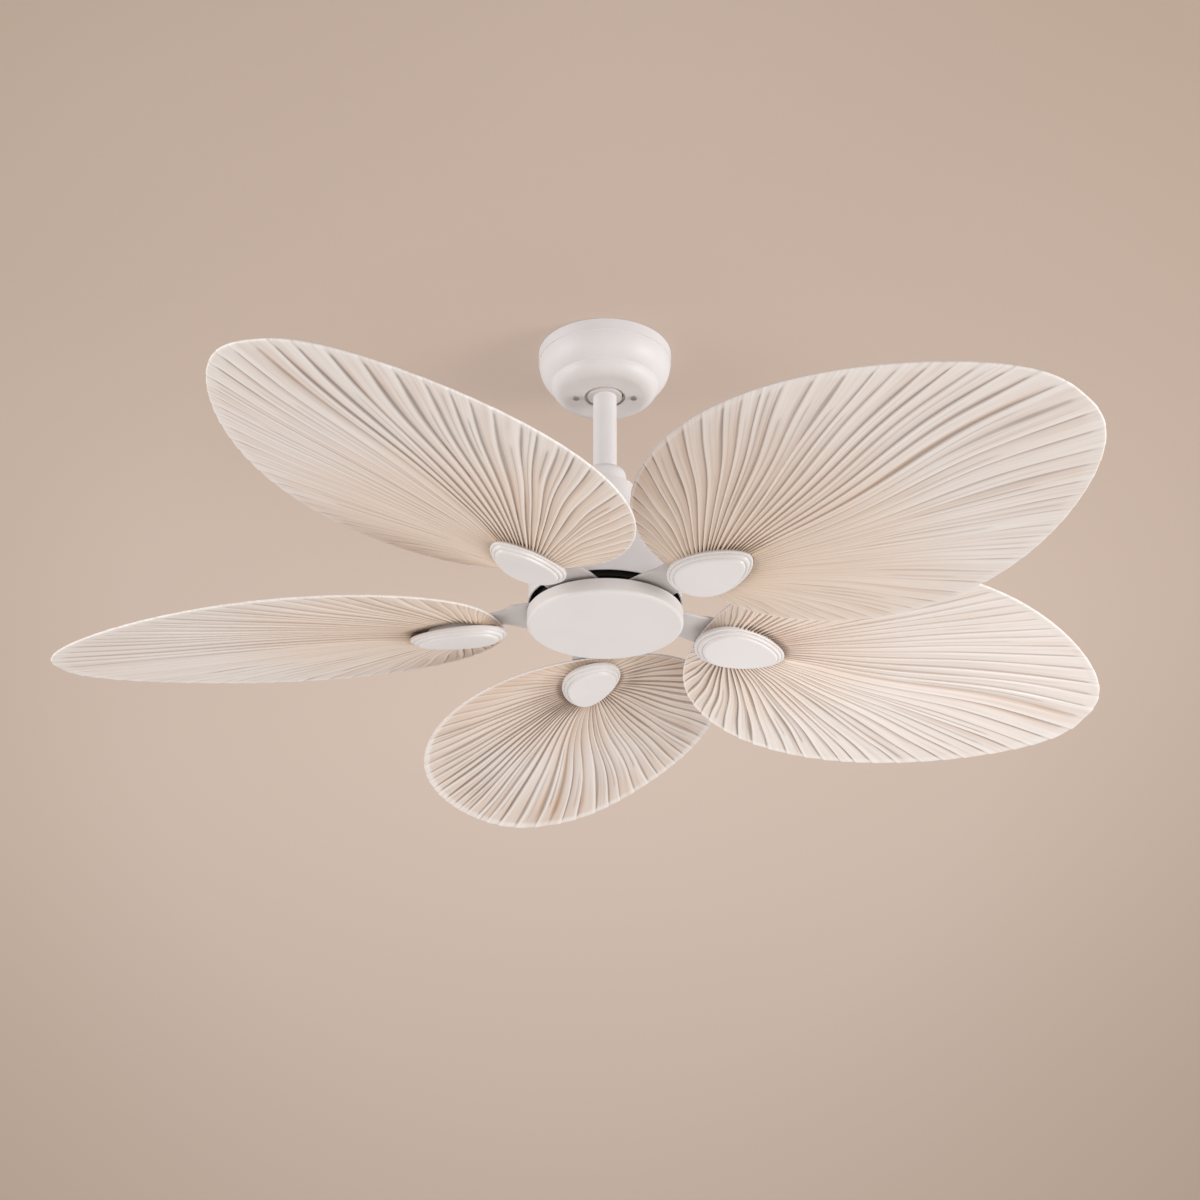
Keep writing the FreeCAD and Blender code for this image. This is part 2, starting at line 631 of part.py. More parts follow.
blade_turns = around(5, first_blade_turn)
between_turns = around(5, first_blade_turn + 36)
wall_middle = "rotor_radius - rotor_wall / 2"
wall_screw_end = "rotor_bottom - 8"
wall_spots = [polar(wall_middle, a) for a in between_turns]
arm_spots = []
for angle in blade_turns:
    for side in ("1", "-1"):
        arm_spots.append((
            f"arm_screw_circle * cos({angle} deg) - {side} * arm_screw_spread * sin({angle} deg)",
            f"arm_screw_circle * sin({angle} deg) + {side} * arm_screw_spread * cos({angle} deg)"))
keep("rotor_upper_shell", cut(upper_shell, [
    cylinder("rotor_screw_radius", "rotor_height", "-rotor_split - 1", x, y) for x, y in wall_spots]))
keep("rotor_lower_shell", cut(lower_shell, [
    cylinder("rotor_screw_radius", "rotor_height", f"-({wall_screw_end})", x, y) for x, y in wall_spots] + [
    cylinder("arm_screw_radius", "5", "-rotor_bottom - 1", x, y) for x, y in arm_spots]))
keep("rotor_screws", group([
    fuse([
        cylinder("rotor_screw_radius", f"{wall_screw_end} - rotor_top", f"-({wall_screw_end})", x, y),
        cylinder("rotor_wall / 2", "2.5", "-rotor_top", x, y),
    ]) for x, y in wall_spots]))
keep("arm_screws", group([
    fuse([
        cylinder("arm_screw_radius", "arm_thickness + 4", "-rotor_bottom - arm_thickness", x, y),
        cylinder("2 * arm_screw_radius", "2.5", "-rotor_bottom - arm_thickness - 2.5", x, y),
    ]) for x, y in arm_spots]))
magnets = []
for angle in around(16):
    piece = doc.addObject("Part::Cylinder", "magnet")
    bind(piece, "Radius", wall_inner)
    bind(piece, "Height", f"{stack} + 6")
    piece.Angle = 20
    place(piece, "0", "0", "-stator_bottom - 3", Rotation(Vector(0, 0, 1), angle))
    bore = cylinder("magnet_inner", f"{stack} + 8", "-stator_bottom - 4")
    magnets.append(cut(piece, [bore]))
keep("rotor_magnets", group(magnets))

# Bottom cover on its twist-lock plate, clamped to the shaft by a spacer and a nut.
lug_turns = around(3, 15)
notch_turns = around(3, 55)
notches = []
for angle in notch_turns:
    x, y = polar("plate_radius - 5", angle)
    notches.append(box(f"{x} + 9 * sin({angle} deg)", f"{y} - 9 * cos({angle} deg)", "-plate_bottom - 1",
                       "10", "18", "plate_thickness + 2", Rotation(Vector(0, 0, 1), angle)))
keep("cover_plate", cut(cylinder("plate_radius", "plate_thickness", "-plate_bottom"),
                        [cylinder("bearing_bore", "plate_thickness + 2", "-plate_bottom - 1")] + notches))
keep("shaft_spacer", cut(cylinder("shaft_shoulder + 1", "plate_top - rotor_bottom", "-plate_top"),
                         [cylinder("bearing_bore", "plate_top - rotor_bottom + 2", "-plate_top - 1")]))
hexagon = doc.addObject("Part::Prism", "hexagon")
hexagon.Polygon = 6
bind(hexagon, "Circumradius", "nut_radius")
bind(hexagon, "Height", "nut_height")
place(hexagon, "0", "0", "-nut_bottom")
keep("shaft_nut", cut(hexagon, [cylinder("bearing_bore", "nut_height + 2", "-nut_bottom - 1")]))
cover_shell = revolved([
    ("0", "-cover_bottom + cover_wall"),
    ("0", "-cover_bottom"),
    ("cover_radius - cover_round", "-cover_bottom", "cover_round", 1),
    ("cover_radius", "-cover_bottom + cover_round"),
    ("cover_radius", "-cover_rim"),
    ("cover_radius - cover_wall", "-cover_rim"),
    ("cover_radius - cover_wall", "-cover_bottom + cover_round", "cover_round - cover_wall", -1),
    ("cover_radius - cover_round", "-cover_bottom + cover_wall"),
])
lugs = []
for angle in lug_turns:
    x, y = polar("plate_radius - 4", angle)
    lugs.append(box(f"{x} + 7 * sin({angle} deg)", f"{y} - 7 * cos({angle} deg)", "-plate_top",
                    "cover_radius - cover_wall / 2 - plate_radius + 4", "14", "plate_top - cover_rim - 0.8",
                    Rotation(Vector(0, 0, 1), angle)))
keep("bottom_cover", fuse([cover_shell] + lugs))

# Blades: each lies in a plane turned by the pitch about its own radius and let down by the droop.
blade_spot = Vector(size("medallion_centre"), 0, -size("blade_drop"))
blade_turn = Rotation(Vector(0, 1, 0), size("blade_droop")) * Rotation(Vector(1, 0, 0), -size("blade_pitch"))
blade_frame = Placement(blade_spot, blade_turn)
pleat_count = 48
screw_places = [(-24, 13), (-24, -13), (26, 0)]


def turned(angle):
    return Placement(Vector(), Rotation(Vector(0, 0, 1), angle)) * blade_frame


def leaf_point(angle):
    # leaf outline: the half-width follows a power of the sine, fuller towards the root
    length = size("blade_tip_radius") - size("blade_root_radius")
    reach = size("blade_root_radius") + length * (1 - math.cos(angle)) / 2 - size("medallion_centre")
    wave = math.sin(angle)
    full = 1 + 0.202 * math.cos(angle) - 0.078 * math.cos(2 * angle)
    return Vector(reach, math.copysign(abs(wave) ** 0.8, wave) * size("blade_half_width") * full, 0)


def egg_point(angle, scale, centre, half_length, half_width):
    # egg outline, narrower at its outer end
    shift = size(centre) - size("medallion_centre")
    across = scale * size(half_width) * math.sin(angle) * (1 - 0.25 * math.cos(angle))
    return Vector(shift + scale * size(half_length) * math.cos(angle), across, 0)


def egg_face(scale, level, centre, half_length, half_width):
    spots = [egg_point(2 * math.pi * k / 24, scale, centre, half_length, half_width) for k in range(24)]
    curve = Part.BSplineCurve()
    curve.interpolate(spots, PeriodicFlag=True)
    face = Part.Face(Part.Wire(curve.toShape()))
    face.translate(Vector(0, 0, level))
    return face


def screw_tools(radius, low, high):
    return [Part.makeCylinder(size(radius), high - low, Vector(x, y, low)) for x, y in screw_places]


def sewn(faces):
    shell = Part.Shell(faces)
    shell.sewShape()
    solid = Part.Solid(shell)
    if solid.Volume < 0:
        solid.reverse()
    return solid


def leaf_solid():
    # straight pleats run from a flat pad to the leaf edge, ridge and valley in turn
    half = size("blade_thickness") / 2
    count = 2 * pleat_count
    near, far = [], []
    for k in range(count):
        angle = 2 * math.pi * (k + 0.5) / count
        edge = leaf_point(angle)
        middle = Vector(size("pad_centre") - size("medallion_centre"), 0, 0)
        heading = math.atan2(edge.y / size("pad_half_width"), (edge.x - middle.x) / size("pad_half_length"))
        start = egg_point(heading, 1, "pad_centre", "pad_half_length", "pad_half_width")
        run = edge - start
        side = 1 if k % 2 else -1
        share = min(1, run.Length / 120)
        grown = edge + run.normalize() * size("pleat_scallop") * share * (side - 1) / 2
        near.append(start)
        far.append(grown + Vector(0, 0, side * share * size("pleat_depth")))
    faces = []
    rims = []
    for level in (half, -half):
        lift = Vector(0, 0, level)
        inner = [p + lift for p in near]
        outer = [p + lift for p in far]
        faces.append(Part.Face(Part.makePolygon(inner + inner[:1])))
        for k in range(count):
            j = (k + 1) % count
            faces.append(Part.makeRuledSurface(Part.makeLine(inner[k], inner[j]), Part.makeLine(outer[k], outer[j])))
        rims.append(outer)
    for k in range(count):
        j = (k + 1) % count
        faces.append(Part.makeRuledSurface(Part.makeLine(rims[0][k], rims[0][j]), Part.makeLine(rims[1][k], rims[1][j])))
    return sewn(faces).cut(Part.makeCompound(screw_tools("blade_screw_radius", -half - 6, half + 6)))


def medallion_solid():
    # three stepped tiers under the leaf; only the inner boss touches the leaf pad
    outline = ("medallion_centre", "medallion_half_length", "medallion_half_width")
    top = -size("medallion_lift")
    depth = size("medallion_height")
    solid = egg_face(0.7, top, *outline).extrude(Vector(0, 0, -0.8))
    tiers = ((1.0, 0.6, 0.54), (0.91, 0.5, 0.78), (0.79, 0.7, 1.0))
    for scale, start, end in tiers:
        first = top - (0.6 if scale == 1.0 else start * depth)
        tier = egg_face(scale, first, *outline).extrude(Vector(0, 0, top - end * depth - first))
        solid = solid.fuse(tier)
    return solid.removeSplitter().cut(Part.makeCompound(screw_tools("blade_screw_radius", -0.5 * depth, 1)))


def blade_screw_solids():
    stem_low = -0.5 * size("medallion_height")
    head_low = size("arm_under") + size("arm_thickness")
    solids = []
    for x, y in screw_places:
        stem = Part.makeCylinder(size("blade_screw_radius"), head_low + 1 - stem_low, Vector(x, y, stem_low))
        head = Part.makeCylinder(2 * size("blade_screw_radius"), 2.4, Vector(x, y, head_low))
        solids.append(stem.fuse(head).removeSplitter())
    return solids


def gasket_solid():
    low = size("blade_thickness") / 2
    pad = egg_face(0.9, low, "pad_centre", "pad_half_length", "pad_half_width")
    tools = screw_tools("blade_screw_radius", low - 1, low + size("gasket_thickness") + 1)
    return pad.extrude(Vector(0, 0, size("gasket_thickness"))).cut(Part.makeCompound(tools))


def shaped(node, shape, placement=None):
    thing = doc.addObject("Part::Feature", node)
    thing.Shape = shape
    if placement is not None:
        thing.Placement = placement
    return keep(node, thing)


def moved(shape, placement):
    copy = shape.copy()
    copy.Placement = placement
    return copy


leaf = leaf_solid()
medallion = medallion_solid()
for number, angle in enumerate(blade_turns, start=1):
    shaped(f"blade_{number}", leaf, turned(angle))
    shaped(f"medallion_{number}", medallion, turned(angle))
gasket = gasket_solid()
shaped("blade_gaskets", Part.makeCompound([moved(gasket, turned(a)) for a in blade_turns]))
shaped("blade_screws", Part.makeCompound(
    [moved(screw, turned(a)) for a in blade_turns for screw in blade_screw_solids()]))

# Arms: flat at the rotor, twisting to the blade pitch, then flat along the top of the blade pad.
pad_tilt = "atan(tan(blade_pitch * 1 deg) / cos(blade_droop * 1 deg))"
arm_sections = (
    ("arm_root", "arm_root_width", False),
    ("arm_waist", "arm_waist_width", False),
    ("arm_pad_start", "arm_pad_width", True),
    ("pad_centre + pad_half_length * 0.85", "arm_end_width", True),
)


def arm_blank(angle):
    body = doc.addObject("PartDesign::Body", "arm")
    sections = []
    for station, width, on_blade in arm_sections:
        sketch = new_sketch(body, "YZ_Plane")
        draw(sketch, [
            (f"-{width} / 2", "0"),
            (f"{width} / 2", "0"),
            (f"{width} / 2", "arm_thickness"),
            (f"-{width} / 2", "arm_thickness"),
        ])
        bind(sketch, "AttachmentOffset.Base.z", station)
        if on_blade:
            sketch.AttachmentOffset = Placement(Vector(), Rotation(Vector(0, 0, 1), -1))
            bind(sketch, "AttachmentOffset.Rotation.Angle", f"-1 * {pad_tilt}")
            lift = "arm_under / cos(blade_pitch * 1 deg) / cos(blade_droop * 1 deg)"
            fall = f"({station} - medallion_centre) * tan(blade_droop * 1 deg)"
            bind(sketch, "AttachmentOffset.Base.y", f"-blade_drop - {fall} + {lift}")
        else:
            bind(sketch, "AttachmentOffset.Base.y", "-rotor_bottom - arm_thickness")
        sections.append(sketch)
    doc.recompute()
    loft = body.newObject("PartDesign::AdditiveLoft", "loft")
    loft.Profile = sections[0]
    loft.Sections = sections[1:]
    loft.Ruled = True
    body.Placement = Placement(Vector(), Rotation(Vector(0, 0, 1), angle))
    return body


for number, angle in enumerate(blade_turns, start=1):
    holes = [cylinder("arm_screw_radius", "3 * arm_thickness", "-rotor_bottom - 2 * arm_thickness", x, y)
             for x, y in arm_spots[2 * number - 2:2 * number]]
    for x, y in screw_places:
        hole = doc.addObject("Part::Cylinder", "pad_hole")
        bind(hole, "Radius", "blade_screw_radius")
        bind(hole, "Height", "4 * arm_thickness")
        hole.Placement = turned(angle) * Placement(Vector(x, y, 0), Rotation())
        holes.append(hole)
    keep(f"blade_arm_{number}", cut(arm_blank(angle), holes))

doc.recompute()
for thing in doc.Objects:
    if "Invalid" in thing.State or "Error" in thing.State:
        raise RuntimeError(f"{thing.Label} did not build: {thing.State}")
os.makedirs("parts", exist_ok=True)
for node, thing in parts.items():
    shape = thing.Shape
    if shape.isNull() or not shape.isValid() or not shape.Solids:
        raise RuntimeError(f"{node} has no valid solid")
    shape.exportStep(f"parts/{node}.step")
print(len(parts), "sub-parts written")
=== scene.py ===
import json
import math
from types import SimpleNamespace
import bpy
import numpy as np
from mathutils import Matrix, Vector


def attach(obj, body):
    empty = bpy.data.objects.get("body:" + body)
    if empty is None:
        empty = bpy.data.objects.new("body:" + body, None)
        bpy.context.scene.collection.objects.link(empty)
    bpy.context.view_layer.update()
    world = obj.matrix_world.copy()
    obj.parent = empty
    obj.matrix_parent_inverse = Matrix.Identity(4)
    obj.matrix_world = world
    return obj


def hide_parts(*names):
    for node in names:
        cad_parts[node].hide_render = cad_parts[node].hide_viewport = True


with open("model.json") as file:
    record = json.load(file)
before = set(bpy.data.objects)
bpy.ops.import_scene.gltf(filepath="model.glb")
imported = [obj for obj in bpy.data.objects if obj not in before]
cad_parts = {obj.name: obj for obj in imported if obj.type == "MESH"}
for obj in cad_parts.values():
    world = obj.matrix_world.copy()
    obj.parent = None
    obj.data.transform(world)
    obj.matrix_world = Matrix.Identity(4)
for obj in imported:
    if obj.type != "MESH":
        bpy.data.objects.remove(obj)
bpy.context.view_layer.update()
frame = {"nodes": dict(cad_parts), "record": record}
nodes = frame["nodes"]
mm = 0.001

# sizes shared with the solids, in millimetres and degrees; the ceiling is z = 0
fan = {
    "blades": 5, "firstTurn": 25, "medallionCentre": 173.0, "bladeDrop": 347.6, "pitch": 11.84, "droop": 1.06,
    "rotorBottom": 340.0, "eggTaper": 0.25,
}
bladeTurns = [fan["firstTurn"] + 360 * k // fan["blades"] for k in range(fan["blades"])]


def linear(hexColour):  # sRGB hex to linear rgba, by the sRGB curve
    rgb = np.array([int(hexColour[k:k + 2], 16) for k in (1, 3, 5)]) / 255
    low = rgb / 12.92
    high = ((rgb + 0.055) / 1.055) ** 2.4
    return (*np.where(rgb <= 0.04045, low, high).tolist(), 1.0)


def smooth(x):  # soft step: 0 up to 0, 1 from 1 on, a cubic between
    x = np.clip(x, 0, 1)
    return x * x * (3 - 2 * x)


def step(x, start, span):  # soft step that begins at start and takes span
    return smooth((x - start) / span)


def bell(x, centre, width):  # bell curve, 1 at its centre
    return np.exp(-((x - centre) / width) ** 2)


def node(tree, kind, settings=None, inputs=None, stops=()):  # an input is a plain value or a socket to link
    item = tree.nodes.new(kind)
    for key, value in (settings or {}).items():
        setattr(item, key, value)
    for key, source in (inputs or {}).items():
        if isinstance(source, bpy.types.NodeSocket):
            tree.links.new(source, item.inputs[key])
        else:
            item.inputs[key].default_value = source
    if stops:  # places and colours of a colour ramp
        marks = item.color_ramp.elements
        while len(marks) < len(stops):
            marks.new(0.5)
        for mark, (place, hexColour) in zip(marks, stops):
            mark.position = place
            mark.color = linear(hexColour)
    return item


def newMaterial(name):
    material = bpy.data.materials.new(name)
    material.use_nodes = True
    tree = material.node_tree
    return material, tree, tree.nodes["Principled BSDF"]


# what the plain finishes share; a cloud of tone is about 70 mm across
plain = {
    "cloudsPerMetre": 14.0, "cloudDetail": 3.0, "cloudPlaces": (0.3, 0.7), "grainDetail": 2.0,
    "smoother": 0.05, "rougher": 0.06, "bumpStrength": 0.5,
}


def grainMaterial(name, colours, roughness, grainMm, bumpMm, metallic=0.0, stretch=(1, 1, 1)):
    # a two-tone mottled finish with fine grain; colours are (dark, light)
    material, tree, shader = newMaterial(name)
    spot = node(tree, "ShaderNodeTexCoord").outputs["Object"]
    turn = node(tree, "ShaderNodeMapping", inputs={"Vector": spot, "Scale": stretch})
    cloud = node(tree, "ShaderNodeTexNoise", inputs={
        "Vector": spot, "Scale": plain["cloudsPerMetre"], "Detail": plain["cloudDetail"]})
    grain = node(tree, "ShaderNodeTexNoise", inputs={
        "Vector": turn.outputs["Vector"], "Scale": 1 / (grainMm * mm), "Detail": plain["grainDetail"]})
    tone = node(tree, "ShaderNodeValToRGB", inputs={"Fac": cloud.outputs["Fac"]},
                stops=list(zip(plain["cloudPlaces"], colours)))
    gloss = node(tree, "ShaderNodeMapRange", inputs={
        "Value": grain.outputs["Fac"], "To Min": roughness - plain["smoother"],
        "To Max": roughness + plain["rougher"]})
    bump = node(tree, "ShaderNodeBump", inputs={
        "Height": grain.outputs["Fac"], "Strength": plain["bumpStrength"], "Distance": bumpMm * mm})
    tree.links.new(tone.outputs["Color"], shader.inputs["Base Color"])
    tree.links.new(gloss.outputs["Result"], shader.inputs["Roughness"])
    tree.links.new(bump.outputs["Normal"], shader.inputs["Normal"])
    shader.inputs["Metallic"].default_value = metallic
    return material


# one finish for each slot: name, colours, roughness, grain and bump in mm, metallic, stretch of the grain
finishOf = {
    # powder coat: sprayed and baked, a soft satin with a trace of orange peel
    "white_paint": grainMaterial("whitePowderCoat", ("#E8E4E3", "#EDE9E9"), 0.46, 1.6, 0.03),
    # ABS: injection moulded, an even colour, a little glossier than the paint
    "white_plastic": grainMaterial("whiteMouldedAbs", ("#E2DCDA", "#E6E1DF"), 0.36, 0.9, 0.02),
    # black paint: sprayed on castings, dull and nearly even
    "black_paint": grainMaterial("blackRotorPaint", ("#0D0B0A", "#161312"), 0.5, 1.2, 0.04),
    # zinc: plated on pressed sheet, pale grey with soft reflections
    "zinc_steel": grainMaterial("zincPlatedSheet", ("#B4B4AE", "#C6C6C0"), 0.36, 3.0, 0.02, 1.0),
    # steel: turned, bright, with fine rings round the axis
    "bright_steel": grainMaterial("turnedSteel", ("#B0B0B0", "#C2C2C2"), 0.3, 0.8, 0.015, 1.0, (1, 1, 8)),
    # laminations: stamped sheets in a stack, grey with fine lines across the axis
    "lamination": grainMaterial("stackedLamination", ("#6C6C70", "#84848A"), 0.45, 0.5, 0.05, 1.0,
                                (0.05, 0.05, 1)),
    # ferrite: pressed and sintered, nearly black and dull
    "ferrite": grainMaterial("sinteredFerrite", ("#2B2B2E", "#36363A"), 0.6, 0.6, 0.05),
    # copper: drawn and enamelled wire, wound in layers, shiny and lined
    "copper": grainMaterial("enamelledCopper", ("#A4572C", "#C4713C"), 0.32, 0.8, 0.2, 0.9, (0.02, 0.02, 1)),
    # nylon: moulded without pigment, off-white and waxy
    "nylon": grainMaterial("naturalNylon", ("#E2DDCF", "#ECE8DC"), 0.5, 1.0, 0.02),
    # black plastic: moulded, even and satin
    "black_plastic": grainMaterial("blackMouldedPlastic", ("#151515", "#1D1D1D"), 0.5, 0.7, 0.03),
    # rubber: pressed pads, black and matt
    "rubber_pad": grainMaterial("padRubber", ("#1A1A1A", "#242424"), 0.75, 0.9, 0.05),
}
finishOf["palm_leaf"] = finishOf["white_plastic"]  # the solid blades, which the leaves below replace
# the same powder coat on the arms, made darker with painted shade and a little glossier
shadedArmPaint = grainMaterial("armPowderCoatShaded", ("#CAC3C1", "#D2CBC9"), 0.4, 1.6, 0.03)
print("finishes ready")

slotOf = {part["node"]: part["material_slot"] for part in frame["record"]["subparts"]}
for name, item in nodes.items():
    item.data.materials.clear()
    item.data.materials.append(finishOf[slotOf[name]])


def bladePlacement(turn):  # x outwards from the medallion, y along the turn, z up through the leaf
    droop = Matrix.Rotation(math.radians(fan["droop"]), 4, "Y")
    pitch = Matrix.Rotation(math.radians(-fan["pitch"]), 4, "X")
    spot = Matrix.Translation((fan["medallionCentre"], 0, -fan["bladeDrop"]))
    return np.array(Matrix.Rotation(math.radians(turn), 4, "Z") @ spot @ droop @ pitch)


def moved(points, placement):
    return points @ placement[:3, :3].T + placement[:3, 3]


def gridPiece(name, points, finish, body, replaced, uv=None, marks=None):
    # points is a grid (u, v, xyz) in mm: u runs round the piece and closes, v along it from cap to cap
    nu, nv = points.shape[:2]
    at = np.arange(nu * nv).reshape(nu, nv)
    u, v = np.meshgrid(np.arange(nu), np.arange(nv - 1), indexing="ij")
    nextU, nextV = (u + 1) % nu, v + 1
    quads = np.stack([at[u, v], at[nextU, v], at[nextU, nextV], at[u, nextV]], -1).reshape(-1, 4)
    caps = [at[::-1, 0].tolist(), at[:, -1].tolist()]
    mesh = bpy.data.meshes.new(name)
    mesh.from_pydata((points.reshape(-1, 3) * mm).tolist(), [], quads.tolist() + caps)
    if uv is not None:  # a mark for each column and one that closes the round, and the lengths along them
        around, along = uv
        corners = np.stack([around[u], along[u, v], around[u + 1], along[nextU, v],
                            around[u + 1], along[nextU, nextV], around[u], along[u, nextV]], -1)
        flat = np.zeros(2 * len(mesh.loops))
        flat[:corners.size] = corners.ravel()
        mesh.uv_layers.new(name="UVMap").data.foreach_set("uv", flat)
    for key, values in (marks or {}).items():
        layer = mesh.attributes.new(key, "FLOAT", "POINT")
        layer.data.foreach_set("value", values.ravel().astype(np.float32))
    mesh.polygons.foreach_set("use_smooth", np.ones(len(mesh.polygons), dtype=bool))
    mesh.update()
    piece = bpy.data.objects.new(name, mesh)
    bpy.context.scene.collection.objects.link(piece)
    mesh.materials.append(finish)
    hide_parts(*replaced)
    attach(piece, body)


# colours of the leaf; a streak or fibre has its scale per pleat and per 40 mm along the pleat
leafLook = {
    "reachStops": [(0.0, "#E5D0BC"), (0.25, "#E9D6C6"), (0.6, "#EDDDD1"), (0.985, "#F0E8E3"),
                   (1.0, "#F2ECE8")],
    "streakScale": (1.6, 0.14, 1), "streakDetail": 4.0, "streakRoughness": 0.6, "streakSpan": (0.48, 0.78),
    "streakMost": 0.3, "tanColour": "#CDA585", "bleachColour": "#F6EEE8", "creaseColour": "#5F412D",
    "fibreScale": (8.0, 0.22, 1), "fibreDetail": 3.0, "fibreStops": [(0.3, "#E2D8D0"), (0.62, "#FFFFFF")],
    "fibreShare": 0.4, "fibreBump": 0.3, "fibreMm": 0.25, "roughness": 0.48, "specular": 0.4,
}


# palm leaf: cream moulded blade, matte, tan streaks run with the pleats and gather near the medallion
def leafMaterial():
    material, tree, shader = newMaterial("palmLeafMoulding")
    uvMap = node(tree, "ShaderNodeUVMap", {"uv_map": "UVMap"}).outputs["UV"]
    mark = {key: node(tree, "ShaderNodeAttribute", {"attribute_name": key}).outputs["Fac"]
            for key in ("crease", "reach", "stain", "bleach")}
    streakMap = node(tree, "ShaderNodeMapping", inputs={"Vector": uvMap, "Scale": leafLook["streakScale"]})
    streak = node(tree, "ShaderNodeTexNoise", inputs={
        "Vector": streakMap.outputs["Vector"], "Scale": 1.0, "Detail": leafLook["streakDetail"],
        "Roughness": leafLook["streakRoughness"]})
    fibreMap = node(tree, "ShaderNodeMapping", inputs={"Vector": uvMap, "Scale": leafLook["fibreScale"]})
    fibre = node(tree, "ShaderNodeTexNoise", inputs={
        "Vector": fibreMap.outputs["Vector"], "Scale": 1.0, "Detail": leafLook["fibreDetail"]})
    pale = node(tree, "ShaderNodeValToRGB", inputs={"Fac": mark["reach"]}, stops=leafLook["reachStops"])
    fibreTone = node(tree, "ShaderNodeValToRGB", inputs={"Fac": fibre.outputs["Fac"]},
                     stops=leafLook["fibreStops"])
    low, high = leafLook["streakSpan"]
    tan = node(tree, "ShaderNodeMapRange", inputs={
        "Value": streak.outputs["Fac"], "From Min": low, "From Max": high, "To Max": leafLook["streakMost"]})
    tanLevel = node(tree, "ShaderNodeMath", {"operation": "ADD", "use_clamp": True},
                    {0: tan.outputs["Result"], 1: mark["stain"]})
    colour = pale.outputs["Color"]
    # layers: the leaf's tan, the fibre, painted highlights on the folds, then brown crease lines with painted
    # fold shade
    for blend, level, second in (
            ("MIX", tanLevel.outputs[0], linear(leafLook["tanColour"])),
            ("MULTIPLY", leafLook["fibreShare"], fibreTone.outputs["Color"]),
            ("MIX", mark["bleach"], linear(leafLook["bleachColour"])),
            ("MIX", mark["crease"], linear(leafLook["creaseColour"]))):
        layer = node(tree, "ShaderNodeMix", {"data_type": "RGBA", "blend_type": blend},
                     {0: level, 6: colour, 7: second})  # a colour mix has its colours in sockets 6 and 7
        colour = layer.outputs[2]
    bump = node(tree, "ShaderNodeBump", inputs={
        "Height": fibre.outputs["Fac"], "Strength": leafLook["fibreBump"],
        "Distance": leafLook["fibreMm"] * mm})
    tree.links.new(colour, shader.inputs["Base Color"])
    tree.links.new(bump.outputs["Normal"], shader.inputs["Normal"])
    shader.inputs["Roughness"].default_value = leafLook["roughness"]
    shader.inputs["Specular IOR Level"].default_value = leafLook["specular"]
    return material


# leaf: radii from the fan's axis and sizes in mm; v runs from 0 at the pad to 1 at the edge
leaf = {
    "root": 125.0, "tip": 660.0, "halfWidth": 174.0, "edgePower": 0.8, "fuller": 0.202, "squarer": 0.078,
    "padCentre": 178.0, "padLength": 46.0, "padWidth": 29.0, "padRings": (0.03, 0.5),
    "padAlong": (-0.1, -0.05), "uvLength": 40, "thickness": 2.0, "rim": 1.4, "rimRings": 5,
    "beadStart": (0.97, 0.02),
    "seed": 100, "lanes": 68, "unevenLanes": 0.3, "arcShare": 0.45, "outlineSteps": 4001,
    "across": [0.01, 0.04, 0.07, 0.1, 0.15, 0.26, 0.36, 0.44, 0.52, 0.7, 0.88, 0.95],  # places across a pleat
    "rows": 54, "closeRows": 9, "closeEnds": (0.14, 0.93),  # rows lie closer near the pad and near the edge
    "sweep": 0.07, "sway": 0.12, "swayWaves": 1.2, "driftStep": 0.9,
    "feather": 5.0, "featherPower": 0.7, "tipSway": 5.0, "tipShare": 0.09,
    "boldAt": [0.0, 0.2, 0.35, 0.45, 0.55, 0.7, 0.8, 1.0],  # places round the leaf, root to tip and back
}

# leaves 1 to 5: how bold the pleats are at the places boldAt, how much paler the leaf is made by painted
# light, how tan the leaf is, how much less dish its near side has, for a gap over the medallion, and how much
# the crease lines and painted fold shade widen towards the medallion and towards the outer end
leafStyles = [
    {"bold": [1.0, 1.0, 1.0, 0.9, 0.45, 0.15, 0.2, 0.3], "paintedLight": 0.34, "tan": 0.0, "lift": 0.0,
     "rootLines": 1.0, "tipLines": 0.0},
    {"bold": [0.1, 0.2, 0.9, 1.0, 1.0, 0.6, 0.5, 0.5], "paintedLight": 0.12, "tan": 0.26, "lift": 0.0,
     "rootLines": 1.0, "tipLines": 0.2},
    {"bold": [0.3, 0.35, 0.45, 0.45, 0.7, 1.0, 1.0, 0.7], "paintedLight": 0.0, "tan": 0.04, "lift": 0.6,
     "rootLines": 0.5, "tipLines": 0.0},
    {"bold": [1.0, 1.0, 0.95, 0.8, 1.0, 0.55, 0.3, 0.25], "paintedLight": -0.02, "tan": 0.03, "lift": 0.0,
     "rootLines": 0.3, "tipLines": 0.6},
    {"bold": [0.3, 0.15, 0.2, 0.5, 0.6, 0.7, 0.95, 1.0], "paintedLight": 0.0, "tan": 0.03, "lift": 0.0,
     "rootLines": 0.0, "tipLines": 0.5},
]

